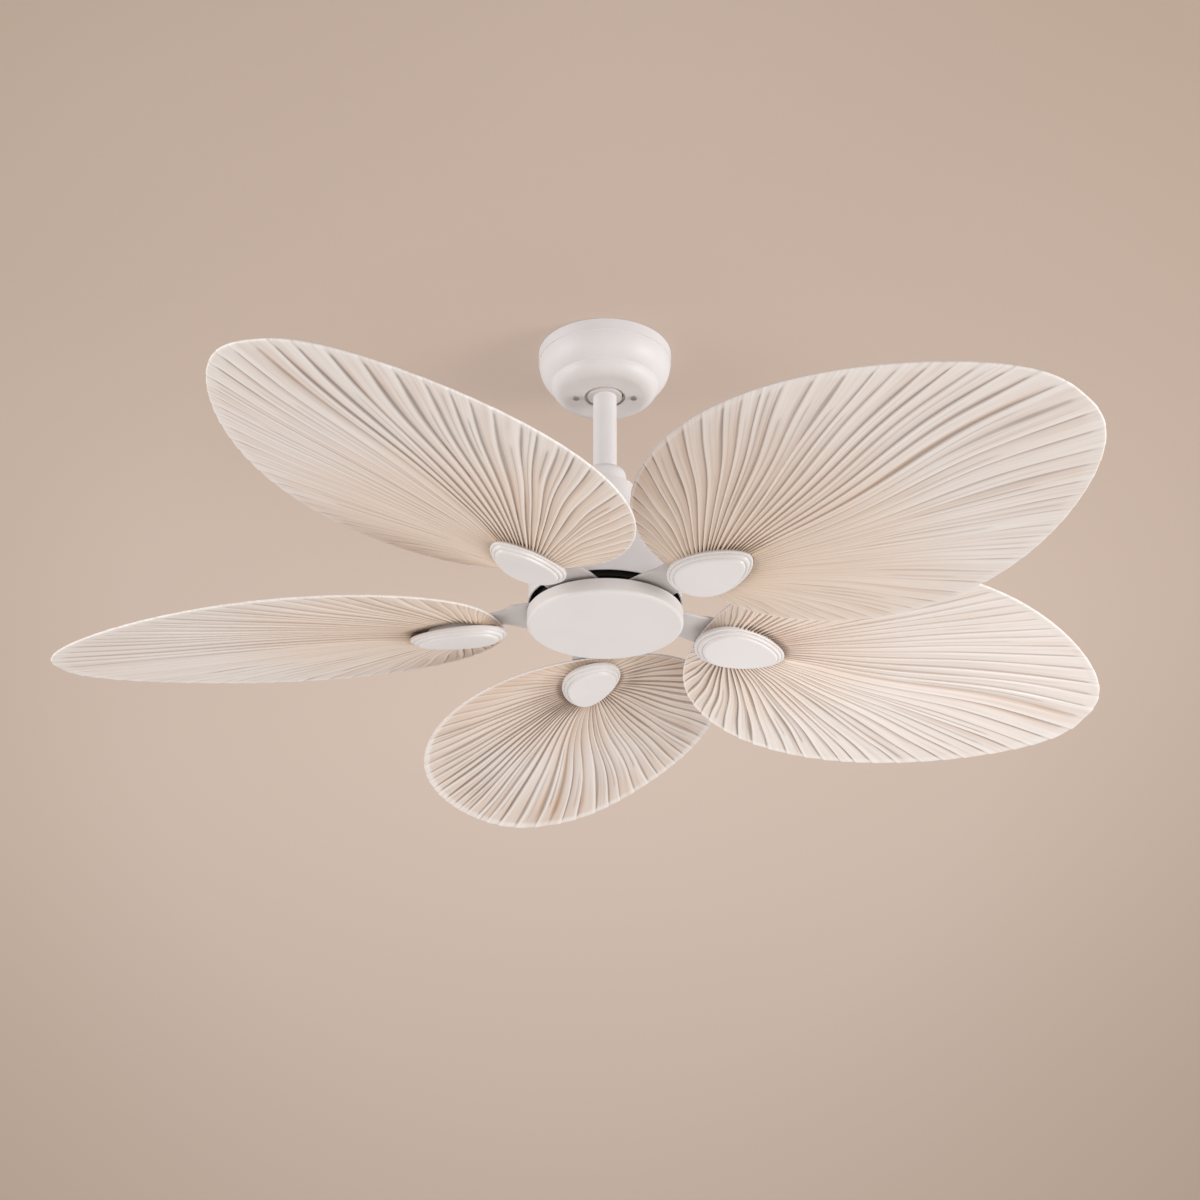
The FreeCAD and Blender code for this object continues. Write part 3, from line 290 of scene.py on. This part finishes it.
# relief in mm; a pair named Start or End is where a change begins and how far it takes, in mm from the pad
# or, where it is under 1, in v
pleat = {
    "boldDepth": 3.4, "fineDepth": 1.3, "strength": (0.55, 1.15), "steep": 0.1, "slopePower": 1.6,
    "padStart": (0, 6), "growStart": (10, 80), "growShare": 0.5, "calmStart": (0.75, 0.25), "calmShare": 0.78,
    "sinkStart": (0, 60), "sinkShare": 0.5, "fullRun": 120,
    "wrinkle": 0.1, "wrinkleWaves": 2, "wrinkleBend": 3, "wrinkleStart": (0, 0.3), "wrinkleEnd": (0.9, 0.1),
    "gather": 3.2, "gatherEnd": (6, 55), "gatherFold": 0.8, "gatherRun": (25, 60),
    "dish": 9.5, "dishPower": 1.4, "dishStart": (0, 5), "liftSharpness": 1.5,
    "thinHeight": 0.5, "thinPower": 1.5, "thinPlace": (0.43, 0.06), "thinFrom": (0.05, 0.6), "thinGrow": 0.12,
    "thinTo": (0.7, 0.97), "thinFade": 0.06,
    "scallop": 1.0, "scallopMean": 0.5, "scallopLevel": (0.4, 0.6), "scallopStart": (0.93, 0.07),
}

# shares of colour, painted shade and painted highlight on the pleats, with pairs as above; a Level is what a
# fine pleat has and a bold one adds
paint = {
    "darkness": (0.5, 1.0), "lineLevel": (0.38, 0.52), "lineWidths": (0.05, 0.06),
    "rootWiden": 1.2, "rootEnd": (10, 90), "tipStart": (150, 180), "tipEnd": (0.84, 0.12),
    "fade": 0.12, "fadeStart": (0, 130), "freshen": 0.2, "freshenStart": (0.76, 0.14),
    "vanish": 0.9, "vanishStart": (0.955, 0.035),
    "gapShade": 0.85, "gapWidths": (0.14, 0.25), "gapEnd": (9, 9), "gapNarrow": 0.75, "gapNarrowStart": (8, 12),
    "gapEnds": 0.25, "thinLevel": (0.25, 0.35),
    "bleach": 0.85, "bleachPlace": (0.15, 0.09), "bleachStart": (0, 0.1),
    "rib": 0.8, "ribShare": 0.06, "ribPlace": (0.9, 0.07), "ribStart": (0.05, 0.3), "ribEnd": (0.85, 0.15),
    "slope": 0.1, "slopeStart": (0.4, 0.6), "tint": 0.09, "tintStart": (0, 0.2), "tanStart": (0.5, 0.4),
    "clearStart": (0.95, 0.03), "reachRun": 260, "reachMost": 0.98, "rimStart": (0.984, 0.012),
}


def eggOutline(angle, centre, halfLength, halfWidth):  # egg: cosine along, sine across, narrower outwards
    x = centre - fan["medallionCentre"] + halfLength * np.cos(angle)
    y = halfWidth * np.sin(angle) * (1 - fan["eggTaper"] * np.cos(angle))
    return x, y


def leafOutline(angle):  # leaf edge: cosine along the radius, a power of the sine across, fuller at the root
    x = leaf["root"] + (leaf["tip"] - leaf["root"]) * (1 - np.cos(angle)) / 2 - fan["medallionCentre"]
    wave = np.sin(angle)
    full = 1 + leaf["fuller"] * np.cos(angle) - leaf["squarer"] * np.cos(2 * angle)
    return x, np.sign(wave) * np.abs(wave) ** leaf["edgePower"] * leaf["halfWidth"] * full


def leafLanes(number):
    # the pleats lie side by side round the leaf, half of them on each side, with uneven widths that fill it;
    # fold runs from 0 to 1 across a pleat, away from the root; all that chance decides is drawn here
    count = leaf["lanes"]
    dice = np.random.default_rng(leaf["seed"] + number)
    uneven = dice.uniform(-1, 1, count)
    drift = np.cumsum(dice.normal(0, leaf["driftStep"], count))
    strength = dice.uniform(*pleat["strength"], count)
    dark = dice.uniform(*paint["darkness"], count)
    rib = dice.uniform(0, 1, count) ** 2
    thin = dice.uniform(0, 1, count) ** pleat["thinPower"]
    thinFrom = dice.uniform(*pleat["thinFrom"], count)
    thinTo = dice.uniform(*pleat["thinTo"], count)
    tint = dice.uniform(0, paint["tint"], count)
    width = (1 + leaf["unevenLanes"] * uneven).reshape(2, -1)
    width = (0.5 * width / width.sum(1, keepdims=True)).ravel()
    start = np.concatenate([[0], np.cumsum(width)[:-1]])
    middle = start + width / 2
    bold = np.interp(middle, leaf["boldAt"], leafStyles[number - 1]["bold"])
    rib = rib * bell(np.abs(middle - 0.5), 0, paint["ribShare"]) * paint["rib"]
    across = np.array(leaf["across"])
    lane = np.repeat(np.arange(count), len(across))
    onFirstSide = lane < count // 2
    fold = np.where(onFirstSide, np.tile(across, count), np.tile(across[::-1], count))
    place = np.where(onFirstSide, fold, 1 - fold)
    perLane = dict(drift=drift, strength=strength, dark=dark, rib=rib, thin=thin, thinFrom=thinFrom,
                   thinTo=thinTo, tint=tint, width=width, start=start, bold=bold)
    columns = {key: values[lane][:, None] for key, values in perLane.items()}
    return SimpleNamespace(fold=fold[:, None], place=place[:, None], mark=lane + place, **columns)


def leafRows():  # places along a pleat, closer together near the pad and near the edge
    low, high = leaf["closeEnds"]
    close = leaf["closeRows"]
    return np.concatenate([
        np.linspace(0, low, close + 1)[:-1],
        np.linspace(low, high, leaf["rows"] - 2 * close),
        np.linspace(high, 1, close + 1)[1:]])


def layPleats(grid):
    # each pleat runs from the pad's egg outline to the leaf's edge; its place round both is a blend of the
    # length of the edge and the heading from the pad, and on the way it sways and bends towards the tip
    fine = np.linspace(0, 2 * np.pi, leaf["outlineSteps"])
    edgeX, edgeY = leafOutline(fine)
    arc = np.concatenate([[0], np.cumsum(np.hypot(np.diff(edgeX), np.diff(edgeY)))])
    headX = (edgeX + fan["medallionCentre"] - leaf["padCentre"]) / leaf["padLength"]
    head = np.unwrap(np.arctan2(edgeY / leaf["padWidth"], headX))
    turned = (head - head[0]) / (head[-1] - head[0])
    share = leaf["arcShare"] * arc / arc[-1] + (1 - leaf["arcShare"]) * turned
    grid.v = leafRows()
    sway = leaf["sway"] * np.sin(2 * np.pi * leaf["swayWaves"] * grid.v + grid.drift) * np.sin(np.pi * grid.v)
    part = grid.start + grid.place * grid.width + sway * grid.width
    grid.angle = np.interp(part, share, fine)
    padAngle = np.interp(part - leaf["sweep"] * np.sin(2 * np.pi * part), share, head)
    padX, padY = eggOutline(padAngle, leaf["padCentre"], leaf["padLength"], leaf["padWidth"])
    edgeX, edgeY = leafOutline(grid.angle)
    bend = leaf["feather"] * np.sin(np.pi * grid.v) * np.abs(np.sin(grid.angle)) ** leaf["featherPower"]
    grid.x = padX + (edgeX - padX) * grid.v + bend
    weave = leaf["tipSway"] * np.sin(2 * np.pi * grid.v) * bell(part, 0.5, leaf["tipShare"])
    grid.y = padY + (edgeY - padY) * grid.v + weave
    grid.run = np.hypot(edgeX - padX, edgeY - padY)
    grid.d = grid.run * grid.v  # mm from the pad
    grid.outX = (edgeX - padX)[:, -1:] / grid.run[:, -1:]
    grid.outY = (edgeY - padY)[:, -1:] / grid.run[:, -1:]


def raisePleats(grid, style):
    # across a pleat the height is a saw tooth, a steep face towards the root and then a long gentle slope;
    # it grows from the pad and calms towards the edge, with fine wrinkles and a second crease on some pleats
    steep = pleat["steep"]
    slope = (np.clip(grid.fold - steep, 0, 1) / (1 - steep)) ** pleat["slopePower"]
    tooth = np.where(grid.fold < steep, 1 - smooth(grid.fold / steep), slope)
    depth = (pleat["fineDepth"] + (pleat["boldDepth"] - pleat["fineDepth"]) * grid.bold) * grid.strength
    grow = 1 - pleat["growShare"] + pleat["growShare"] * step(grid.d, *pleat["growStart"])
    calm = 1 - pleat["calmShare"] * step(grid.v, *pleat["calmStart"])
    rise = step(grid.d, *pleat["padStart"]) * grow * calm
    swell = np.clip(grid.run / pleat["fullRun"], 0, 1)  # short pleats are lower
    grid.height = depth * rise * swell * (tooth - pleat["sinkShare"] * step(grid.d, *pleat["sinkStart"]))
    bend = pleat["wrinkleBend"]
    shift = bend * np.sin(bend * grid.v + grid.drift)
    wrinkle = np.sin(2 * np.pi * pleat["wrinkleWaves"] * grid.fold + shift)
    calmed = step(grid.v, *pleat["wrinkleStart"]) * (1 - step(grid.v, *pleat["wrinkleEnd"]))
    grid.height = grid.height + pleat["wrinkle"] * wrinkle * calmed * swell
    thin = grid.thin * bell(grid.fold, *pleat["thinPlace"]) * step(grid.v, grid.thinFrom, pleat["thinGrow"])
    grid.thin = thin * (1 - step(grid.v, grid.thinTo, pleat["thinFade"])) * swell
    grid.height = grid.height + pleat["thinHeight"] * grid.thin
    # the underside dips towards the medallion, and the pleats crowd round it
    crowd = pleat["gather"] * (1 - step(grid.d, *pleat["gatherEnd"])) * (1 - pleat["gatherFold"] * tooth)
    dish = pleat["dish"] * (1 - grid.v) ** pleat["dishPower"]
    bunch = (crowd * step(grid.run, *pleat["gatherRun"]) + dish) * step(grid.d, *pleat["dishStart"])
    grid.bunch = bunch * (1 - style["lift"] * smooth(pleat["liftSharpness"] * np.sin(grid.angle)))
    # the edge is scalloped: each pleat ends a little further in or out
    least, more = pleat["scallopLevel"]
    reach = pleat["scallop"] * ((pleat["scallopMean"] - tooth) * grid.strength * (least + more * grid.bold))
    scallop = reach * step(grid.v, *pleat["scallopStart"]) * swell
    grid.x = grid.x + scallop * grid.outX
    grid.y = grid.y + scallop * grid.outY


def paintPleats(grid, style):
    # brown crease lines and painted fold shade along both sides of each fold, as bells across the pleat,
    # wider where the style says so
    sideways = np.abs(np.sin(grid.angle))
    nearRoot = 1 - step(grid.d, *paint["rootEnd"])
    nearTip = step(grid.d, *paint["tipStart"]) * (1 - step(grid.v, *paint["tipEnd"]))
    widen = 1 + paint["rootWiden"] * style["rootLines"] * grid.bold * nearRoot * sideways
    widen = widen + style["tipLines"] * nearTip
    before, after = paint["lineWidths"]
    line = bell(grid.fold, 0, before * widen) + bell(1 - grid.fold, 0, after * widen)
    fade = 1 - paint["fade"] * step(grid.d, *paint["fadeStart"])
    fade = fade + paint["freshen"] * step(grid.v, *paint["freshenStart"])
    fade = fade - paint["vanish"] * step(grid.v, *paint["vanishStart"])
    least, more = paint["lineLevel"]
    crease = line * grid.dark * (least + more * grid.bold) * np.clip(fade, 0, 1)
    # painted shade in the gaps where the pleats meet the medallion's rim
    narrow = 1 - paint["gapNarrow"] * step(grid.d, *paint["gapNarrowStart"])
    before, after = paint["gapWidths"]
    gapShade = bell(grid.fold, 0, before * narrow) + bell(1 - grid.fold, 0, after * narrow)
    gapShade = paint["gapShade"] * gapShade * (1 - step(grid.d, *paint["gapEnd"])) * smooth(paint["gapEnds"] + sideways)
    least, more = paint["thinLevel"]
    grid.crease = np.clip(np.maximum(np.maximum(crease, gapShade), (least + more * grid.bold) * grid.thin), 0, 1)
    # a painted highlight on each fold
    onFold = bell(grid.fold, *paint["bleachPlace"]) * grid.bold
    grid.bleach = paint["bleach"] * onFold * step(grid.v, *paint["bleachStart"])
    # tan: streaks on the middle ribs, painted shade on the slopes of bold pleats towards the next fold, a
    # tint of each pleat and the leaf's own tan
    clear = 1 - step(grid.v, *paint["clearStart"])
    ribs = grid.rib * bell(grid.fold, *paint["ribPlace"]) * step(grid.v, *paint["ribStart"])
    ribs = ribs * (1 - step(grid.v, *paint["ribEnd"]))
    slopeShade = paint["slope"] * (grid.bold * step(grid.fold, *paint["slopeStart"])) * clear
    tint = grid.tint * step(grid.v, *paint["tintStart"]) + style["tan"] * step(grid.v, *paint["tanStart"])
    grid.stain = ribs + slopeShade + tint * clear
    # reach: how far out along the pleat, raised by each leaf's painted light, for the base colour; the rim
    # itself is the palest
    outwards = np.clip(grid.d / paint["reachRun"] + style["paintedLight"], 0, paint["reachMost"])
    grid.reach = np.maximum(outwards, step(grid.v, *paint["rimStart"]))


def makeLeaf(number, turn):
    # one grid from the middle of the pad out over the top, round the edge and back along the underside
    style = leafStyles[number - 1]
    grid = leafLanes(number)
    layPleats(grid)
    raisePleats(grid, style)
    paintPleats(grid, style)
    half = leaf["thickness"] / 2
    edge = leaf["rim"]
    bead = half + (edge - half) * step(grid.v, *leaf["beadStart"])
    over = np.stack([grid.x, grid.y, grid.height + bead], -1)
    under = np.stack([grid.x, grid.y, grid.height - bead - grid.bunch], -1)
    lean = np.linspace(np.pi / 2, -np.pi / 2, leaf["rimRings"] + 2)[1:-1]
    rim = np.stack([
        grid.x[:, -1:] + edge * np.cos(lean) * grid.outX,
        grid.y[:, -1:] + edge * np.cos(lean) * grid.outY,
        grid.height[:, -1:] + edge * np.sin(lean)], -1)
    centre = np.array([leaf["padCentre"] - fan["medallionCentre"], 0.0])
    rings = np.array(leaf["padRings"])[None, :, None]
    pad = centre + (np.stack([grid.x[:, :1], grid.y[:, :1]], -1) - centre) * rings
    level = np.full((*pad.shape[:2], 1), half)
    padOver = np.concatenate([pad, level], -1)
    padUnder = np.concatenate([pad, -level], -1)
    points = np.concatenate([padOver, over, rim, under[:, ::-1], padUnder[:, ::-1]], 1)
    padAlong = leaf["padAlong"]
    along = np.concatenate([padAlong, grid.v, np.ones(leaf["rimRings"]), grid.v[::-1], padAlong[::-1]])
    blank = np.zeros(pad.shape[:2])
    marks = {}
    for key in ("crease", "bleach", "stain", "reach"):
        values = getattr(grid, key)
        onRim = np.repeat(values[:, -1:], leaf["rimRings"], 1)
        marks[key] = np.concatenate([blank, values, onRim, values[:, ::-1], blank], 1)
    uv = np.append(grid.mark, leaf["lanes"]), along * grid.run[:, -1:] / leaf["uvLength"]
    gridPiece(f"palmLeaf{number}", moved(points, bladePlacement(turn)), leafFinish, "rotor",
              [f"blade_{number}"], uv, marks)


leafFinish = leafMaterial()
for number, turn in enumerate(bladeTurns, start=1):
    makeLeaf(number, turn)
print("palm leaves ready")

# medallion: three stepped tiers; scale of the egg outline against depth below the leaf in mm
medallion = {
    "halfLength": 56.5, "halfWidth": 34.5, "sides": 96, "ringsPerPoint": 4,
    "profile": [
        (0.30, 1.0), (0.60, 1.0), (0.62, 2.0), (0.64, 9.0), (0.98, 9.6),  # a narrower neck against the leaf
        (1.0, 10.4), (1.0, 13.2), (0.996, 14.2), (0.985, 14.8), (0.965, 15.1),
        (0.944, 15.0), (0.936, 14.4), (0.928, 14.6),  # groove
        (0.92, 16.0), (0.916, 16.9), (0.91, 17.6), (0.897, 18.1), (0.877, 18.3),
        (0.85, 18.2), (0.84, 17.6), (0.832, 17.8),  # groove
        (0.822, 19.1), (0.817, 19.9), (0.81, 20.5), (0.795, 20.9), (0.76, 21.1),
        (0.6, 21.2), (0.3, 21.3), (0.03, 21.3),  # nearly flat face
    ],
}


def makeMedallion(number, turn):  # the egg outline, scaled and lowered along the profile
    angle = np.linspace(0, 2 * np.pi, medallion["sides"] + 1)[:-1]
    steps = np.array(medallion["profile"])
    along = np.linspace(0, len(steps) - 1, medallion["ringsPerPoint"] * len(steps))
    scale = np.interp(along, np.arange(len(steps)), steps[:, 0])
    depth = np.interp(along, np.arange(len(steps)), steps[:, 1])
    x, y = eggOutline(angle, fan["medallionCentre"], medallion["halfLength"], medallion["halfWidth"])
    level = np.broadcast_to(-depth, (len(x), len(depth)))
    points = np.stack([x[:, None] * scale, y[:, None] * scale, level], -1)
    gridPiece(f"medallion{number}", moved(points[::-1], bladePlacement(turn)), finishOf["white_plastic"],
              "rotor", [f"medallion_{number}"])


for number, turn in enumerate(bladeTurns, start=1):
    makeMedallion(number, turn)
print("medallions ready")

# arm: a flat bar, level at the rotor, that twists to the blade's pitch and lies on the blade pad
arm = {
    "stations": [(56, 60), (70, 61), (88, 60), (104, 57), (110, 50), (133, 47), (170, 42),
                 (205, 32), (214, 22), (217, 10)],  # radius and width in mm
    "thickness": 4.0, "twistFrom": 100.0, "twistTo": 126.0, "padLift": 2.0, "roundFrom": 205, "rows": 75,
    "roundRows": 14, "sides": 40, "acrossPower": 0.18, "throughPower": 0.5, "softRows": 3,
}


def makeArm(number, turn):
    # a rounded box section, powers of cosine and sine, carried along the radius while it leans with the twist
    marks = np.array(arm["stations"], float)
    inner, outer = marks[0, 0], marks[-1, 0]
    radius = np.concatenate([
        np.linspace(inner, arm["roundFrom"], arm["rows"]),
        np.linspace(arm["roundFrom"], outer, arm["roundRows"])[1:]])
    width = np.interp(radius, marks[:, 0], marks[:, 1])
    soft = arm["softRows"]
    width = np.convolve(np.pad(width, soft // 2, mode="edge"), np.ones(soft) / soft, "valid")
    twist = step(radius, arm["twistFrom"], arm["twistTo"] - arm["twistFrom"])
    pitch = math.radians(fan["pitch"])
    fall = (radius - fan["medallionCentre"]) * math.tan(math.radians(fan["droop"]))
    padLevel = -fan["bladeDrop"] - fall + arm["padLift"] / math.cos(pitch)
    level = (-fan["rotorBottom"] - arm["thickness"]) * (1 - twist) + padLevel * twist
    lean = -pitch * twist
    angle = np.linspace(0, 2 * np.pi, arm["sides"] + 1)[:-1] + np.pi / arm["sides"]
    boxX = np.sign(np.cos(angle)) * np.abs(np.cos(angle)) ** arm["acrossPower"]
    boxZ = np.sign(np.sin(angle)) * np.abs(np.sin(angle)) ** arm["throughPower"]
    side = boxX[:, None] * width / 2
    up = (boxZ[:, None] + 1) * arm["thickness"] / 2
    y = side * np.cos(lean) - up * np.sin(lean)
    z = side * np.sin(lean) + up * np.cos(lean) + level
    points = np.stack([np.broadcast_to(radius, y.shape), y, z], -1)
    spin = np.array(Matrix.Rotation(math.radians(turn), 4, "Z"))
    gridPiece(f"bladeArm{number}", moved(points, spin), shadedArmPaint, "rotor",
              [f"blade_arm_{number}"])


for number, turn in enumerate(bladeTurns, start=1):
    makeArm(number, turn)
print("arms ready")

# room in metres: a beige ceiling that shows only from below, a pale floor, lamps with place, width and power
room = {
    "bounceColour": "#ACAAAC", "floorColour": "#E9E4DF", "floorShare": 0.6, "paintRoughness": 0.9,
    "glowStops": [(0.0, "#DAC6B8"), (0.5, "#D2BEB0"), (0.75, "#C6B2A3"), (1.0, "#BAA696")], "glowShare": 0.42,
    "glowEye": (2.238, 1.445), "glowTurn": 26.47, "glowCentre": -0.023, "glowReach": 0.40, "glowLean": 0.02,
    "ceilingLift": 0.0005, "ceilingSpan": 18.0, "floorDrop": 2.4, "floorSpan": 80.0,
    "worldColour": "#FFFCF9", "worldStrength": 0.74, "lampAim": (0, 0, -0.3),
    "lamps": [("keyLamp", (2.8, -1.0, -0.85), 1.3, 56.0), ("fillLamp", (-2.9, -1.2, -0.5), 1.8, 46.0),
              ("underLamp", (0.0, 1.5, -2.0), 1.4, 4.0), ("topLamp", (0.4, -0.6, 2.2), 2.5, 8.0)],
}


def sheetAt(name, level, span, flip):
    half = span / 2
    corners = [(-half, -half, level), (half, -half, level), (half, half, level), (-half, half, level)]
    mesh = bpy.data.meshes.new(name)
    mesh.from_pydata(corners, [], [[3, 2, 1, 0] if flip else [0, 1, 2, 3]])
    sheet = bpy.data.objects.new(name, mesh)
    bpy.context.scene.collection.objects.link(sheet)
    return sheet


def ceilingMaterial():
    # matt wall paint under a painted glow of light; its tone falls off in rings, as a lamp at the viewer's
    # place would light it:
    # the ring is the slope of the line from that place to the ceiling's x and y, against the lamp's heading
    material, tree, shader = newMaterial("ceilingPaintedGlow")
    shader.inputs["Roughness"].default_value = room["paintRoughness"]
    spot = node(tree, "ShaderNodeTexCoord")
    xyz = node(tree, "ShaderNodeSeparateXYZ", inputs={"Vector": spot.outputs["Object"]})
    back, rise = room["glowEye"]
    up, level = math.sin(math.radians(room["glowTurn"])), math.cos(math.radians(room["glowTurn"]))
    value = {"x": xyz.outputs["X"], "y": xyz.outputs["Y"]}
    for name, operation, first, second in (
            ("away", "ADD", "y", back),
            ("forward", "MULTIPLY", "away", level), ("depth", "ADD", "forward", rise * up),
            ("fall", "MULTIPLY", "away", up), ("high", "SUBTRACT", rise * level, "fall"),
            ("sideSlope", "DIVIDE", "x", "depth"), ("across", "ADD", "sideSlope", room["glowLean"]),
            ("upSlope", "DIVIDE", "high", "depth"), ("above", "SUBTRACT", "upSlope", room["glowCentre"]),
            ("acrossSquare", "MULTIPLY", "across", "across"), ("aboveSquare", "MULTIPLY", "above", "above"),
            ("square", "ADD", "acrossSquare", "aboveSquare"), ("ring", "SQRT", "square", 0.0),
            ("reach", "DIVIDE", "ring", room["glowReach"])):
        terms = {0: value.get(first, first), 1: value.get(second, second)}
        value[name] = node(tree, "ShaderNodeMath", {"operation": operation}, terms).outputs[0]
    tone = node(tree, "ShaderNodeValToRGB", inputs={"Fac": value["reach"]}, stops=room["glowStops"])
    tree.links.new(tone.outputs["Color"], shader.inputs["Base Color"])
    facing = node(tree, "ShaderNodeNewGeometry")
    path = node(tree, "ShaderNodeLightPath")
    clear = node(tree, "ShaderNodeBsdfTransparent")
    glow = node(tree, "ShaderNodeEmission", inputs={"Color": tone.outputs["Color"]})
    bounce = node(tree, "ShaderNodeBsdfDiffuse", inputs={"Color": linear(room["bounceColour"])})
    seen = node(tree, "ShaderNodeMixShader", inputs={
        "Fac": room["glowShare"], 1: shader.outputs["BSDF"], 2: glow.outputs["Emission"]})
    looked = node(tree, "ShaderNodeMath", {"operation": "MAXIMUM"}, {
        0: path.outputs["Is Camera Ray"], 1: path.outputs["Is Glossy Ray"]})
    lit = node(tree, "ShaderNodeMixShader", inputs={
        "Fac": looked.outputs[0], 1: bounce.outputs["BSDF"], 2: seen.outputs[0]})
    oneSided = node(tree, "ShaderNodeMixShader", inputs={
        "Fac": facing.outputs["Backfacing"], 1: lit.outputs[0], 2: clear.outputs["BSDF"]})
    tree.links.new(oneSided.outputs[0], tree.nodes["Material Output"].inputs["Surface"])
    return material


def floorMaterial():  # matt floor paint, partly lit from itself so that it stays even
    material, tree, shader = newMaterial("floorPaint")
    shader.inputs["Base Color"].default_value = linear(room["floorColour"])
    shader.inputs["Roughness"].default_value = room["paintRoughness"]
    glow = node(tree, "ShaderNodeEmission", inputs={"Color": linear(room["floorColour"])})
    mixed = node(tree, "ShaderNodeMixShader", inputs={
        "Fac": room["floorShare"], 1: shader.outputs["BSDF"], 2: glow.outputs["Emission"]})
    tree.links.new(mixed.outputs[0], tree.nodes["Material Output"].inputs["Surface"])
    return material


ceiling = sheetAt("ceilingSheet", room["ceilingLift"], room["ceilingSpan"], True)
ceiling.data.materials.append(ceilingMaterial())
ceiling.visible_shadow = False
floor = sheetAt("floorSheet", -room["floorDrop"], room["floorSpan"], False)
floor.data.materials.append(floorMaterial())
floor.visible_shadow = False
floor.visible_diffuse = False  # the room's soft light comes up through it

world = bpy.data.worlds.new("softRoom")
world.use_nodes = True
sky = world.node_tree.nodes["Background"]
sky.inputs["Color"].default_value = linear(room["worldColour"])
sky.inputs["Strength"].default_value = room["worldStrength"]
bpy.context.scene.world = world
for name, spot, width, power in room["lamps"]:
    lampData = bpy.data.lights.new(name, "AREA")
    lampData.size = width
    lampData.energy = power
    lamp = bpy.data.objects.new(name, lampData)
    bpy.context.scene.collection.objects.link(lamp)
    aim = Vector(room["lampAim"]) - Vector(spot)
    lamp.matrix_world = Matrix.Translation(spot) @ aim.to_track_quat("-Z", "Y").to_matrix().to_4x4()

# camera fitted to the photograph: looks up from below, on the fan's middle plane, turned a trace to the left
view = {"spot": (0.0, -2.2379, -1.4450), "pitchUp": 26.470, "yawLeft": 0.150, "lens": 65.66, "sensor": 36}
cameraData = bpy.data.cameras.new("photoCamera")
cameraData.sensor_width = view["sensor"]
cameraData.lens = view["lens"]
camera = bpy.data.objects.new("photoCamera", cameraData)
bpy.context.scene.collection.objects.link(camera)
camera.location = view["spot"]
camera.rotation_euler = (math.radians(90 + view["pitchUp"]), 0, math.radians(view["yawLeft"]))
bpy.context.scene.camera = camera
bpy.context.scene.view_settings.view_transform = "Standard"
print("room, lamps and camera ready")
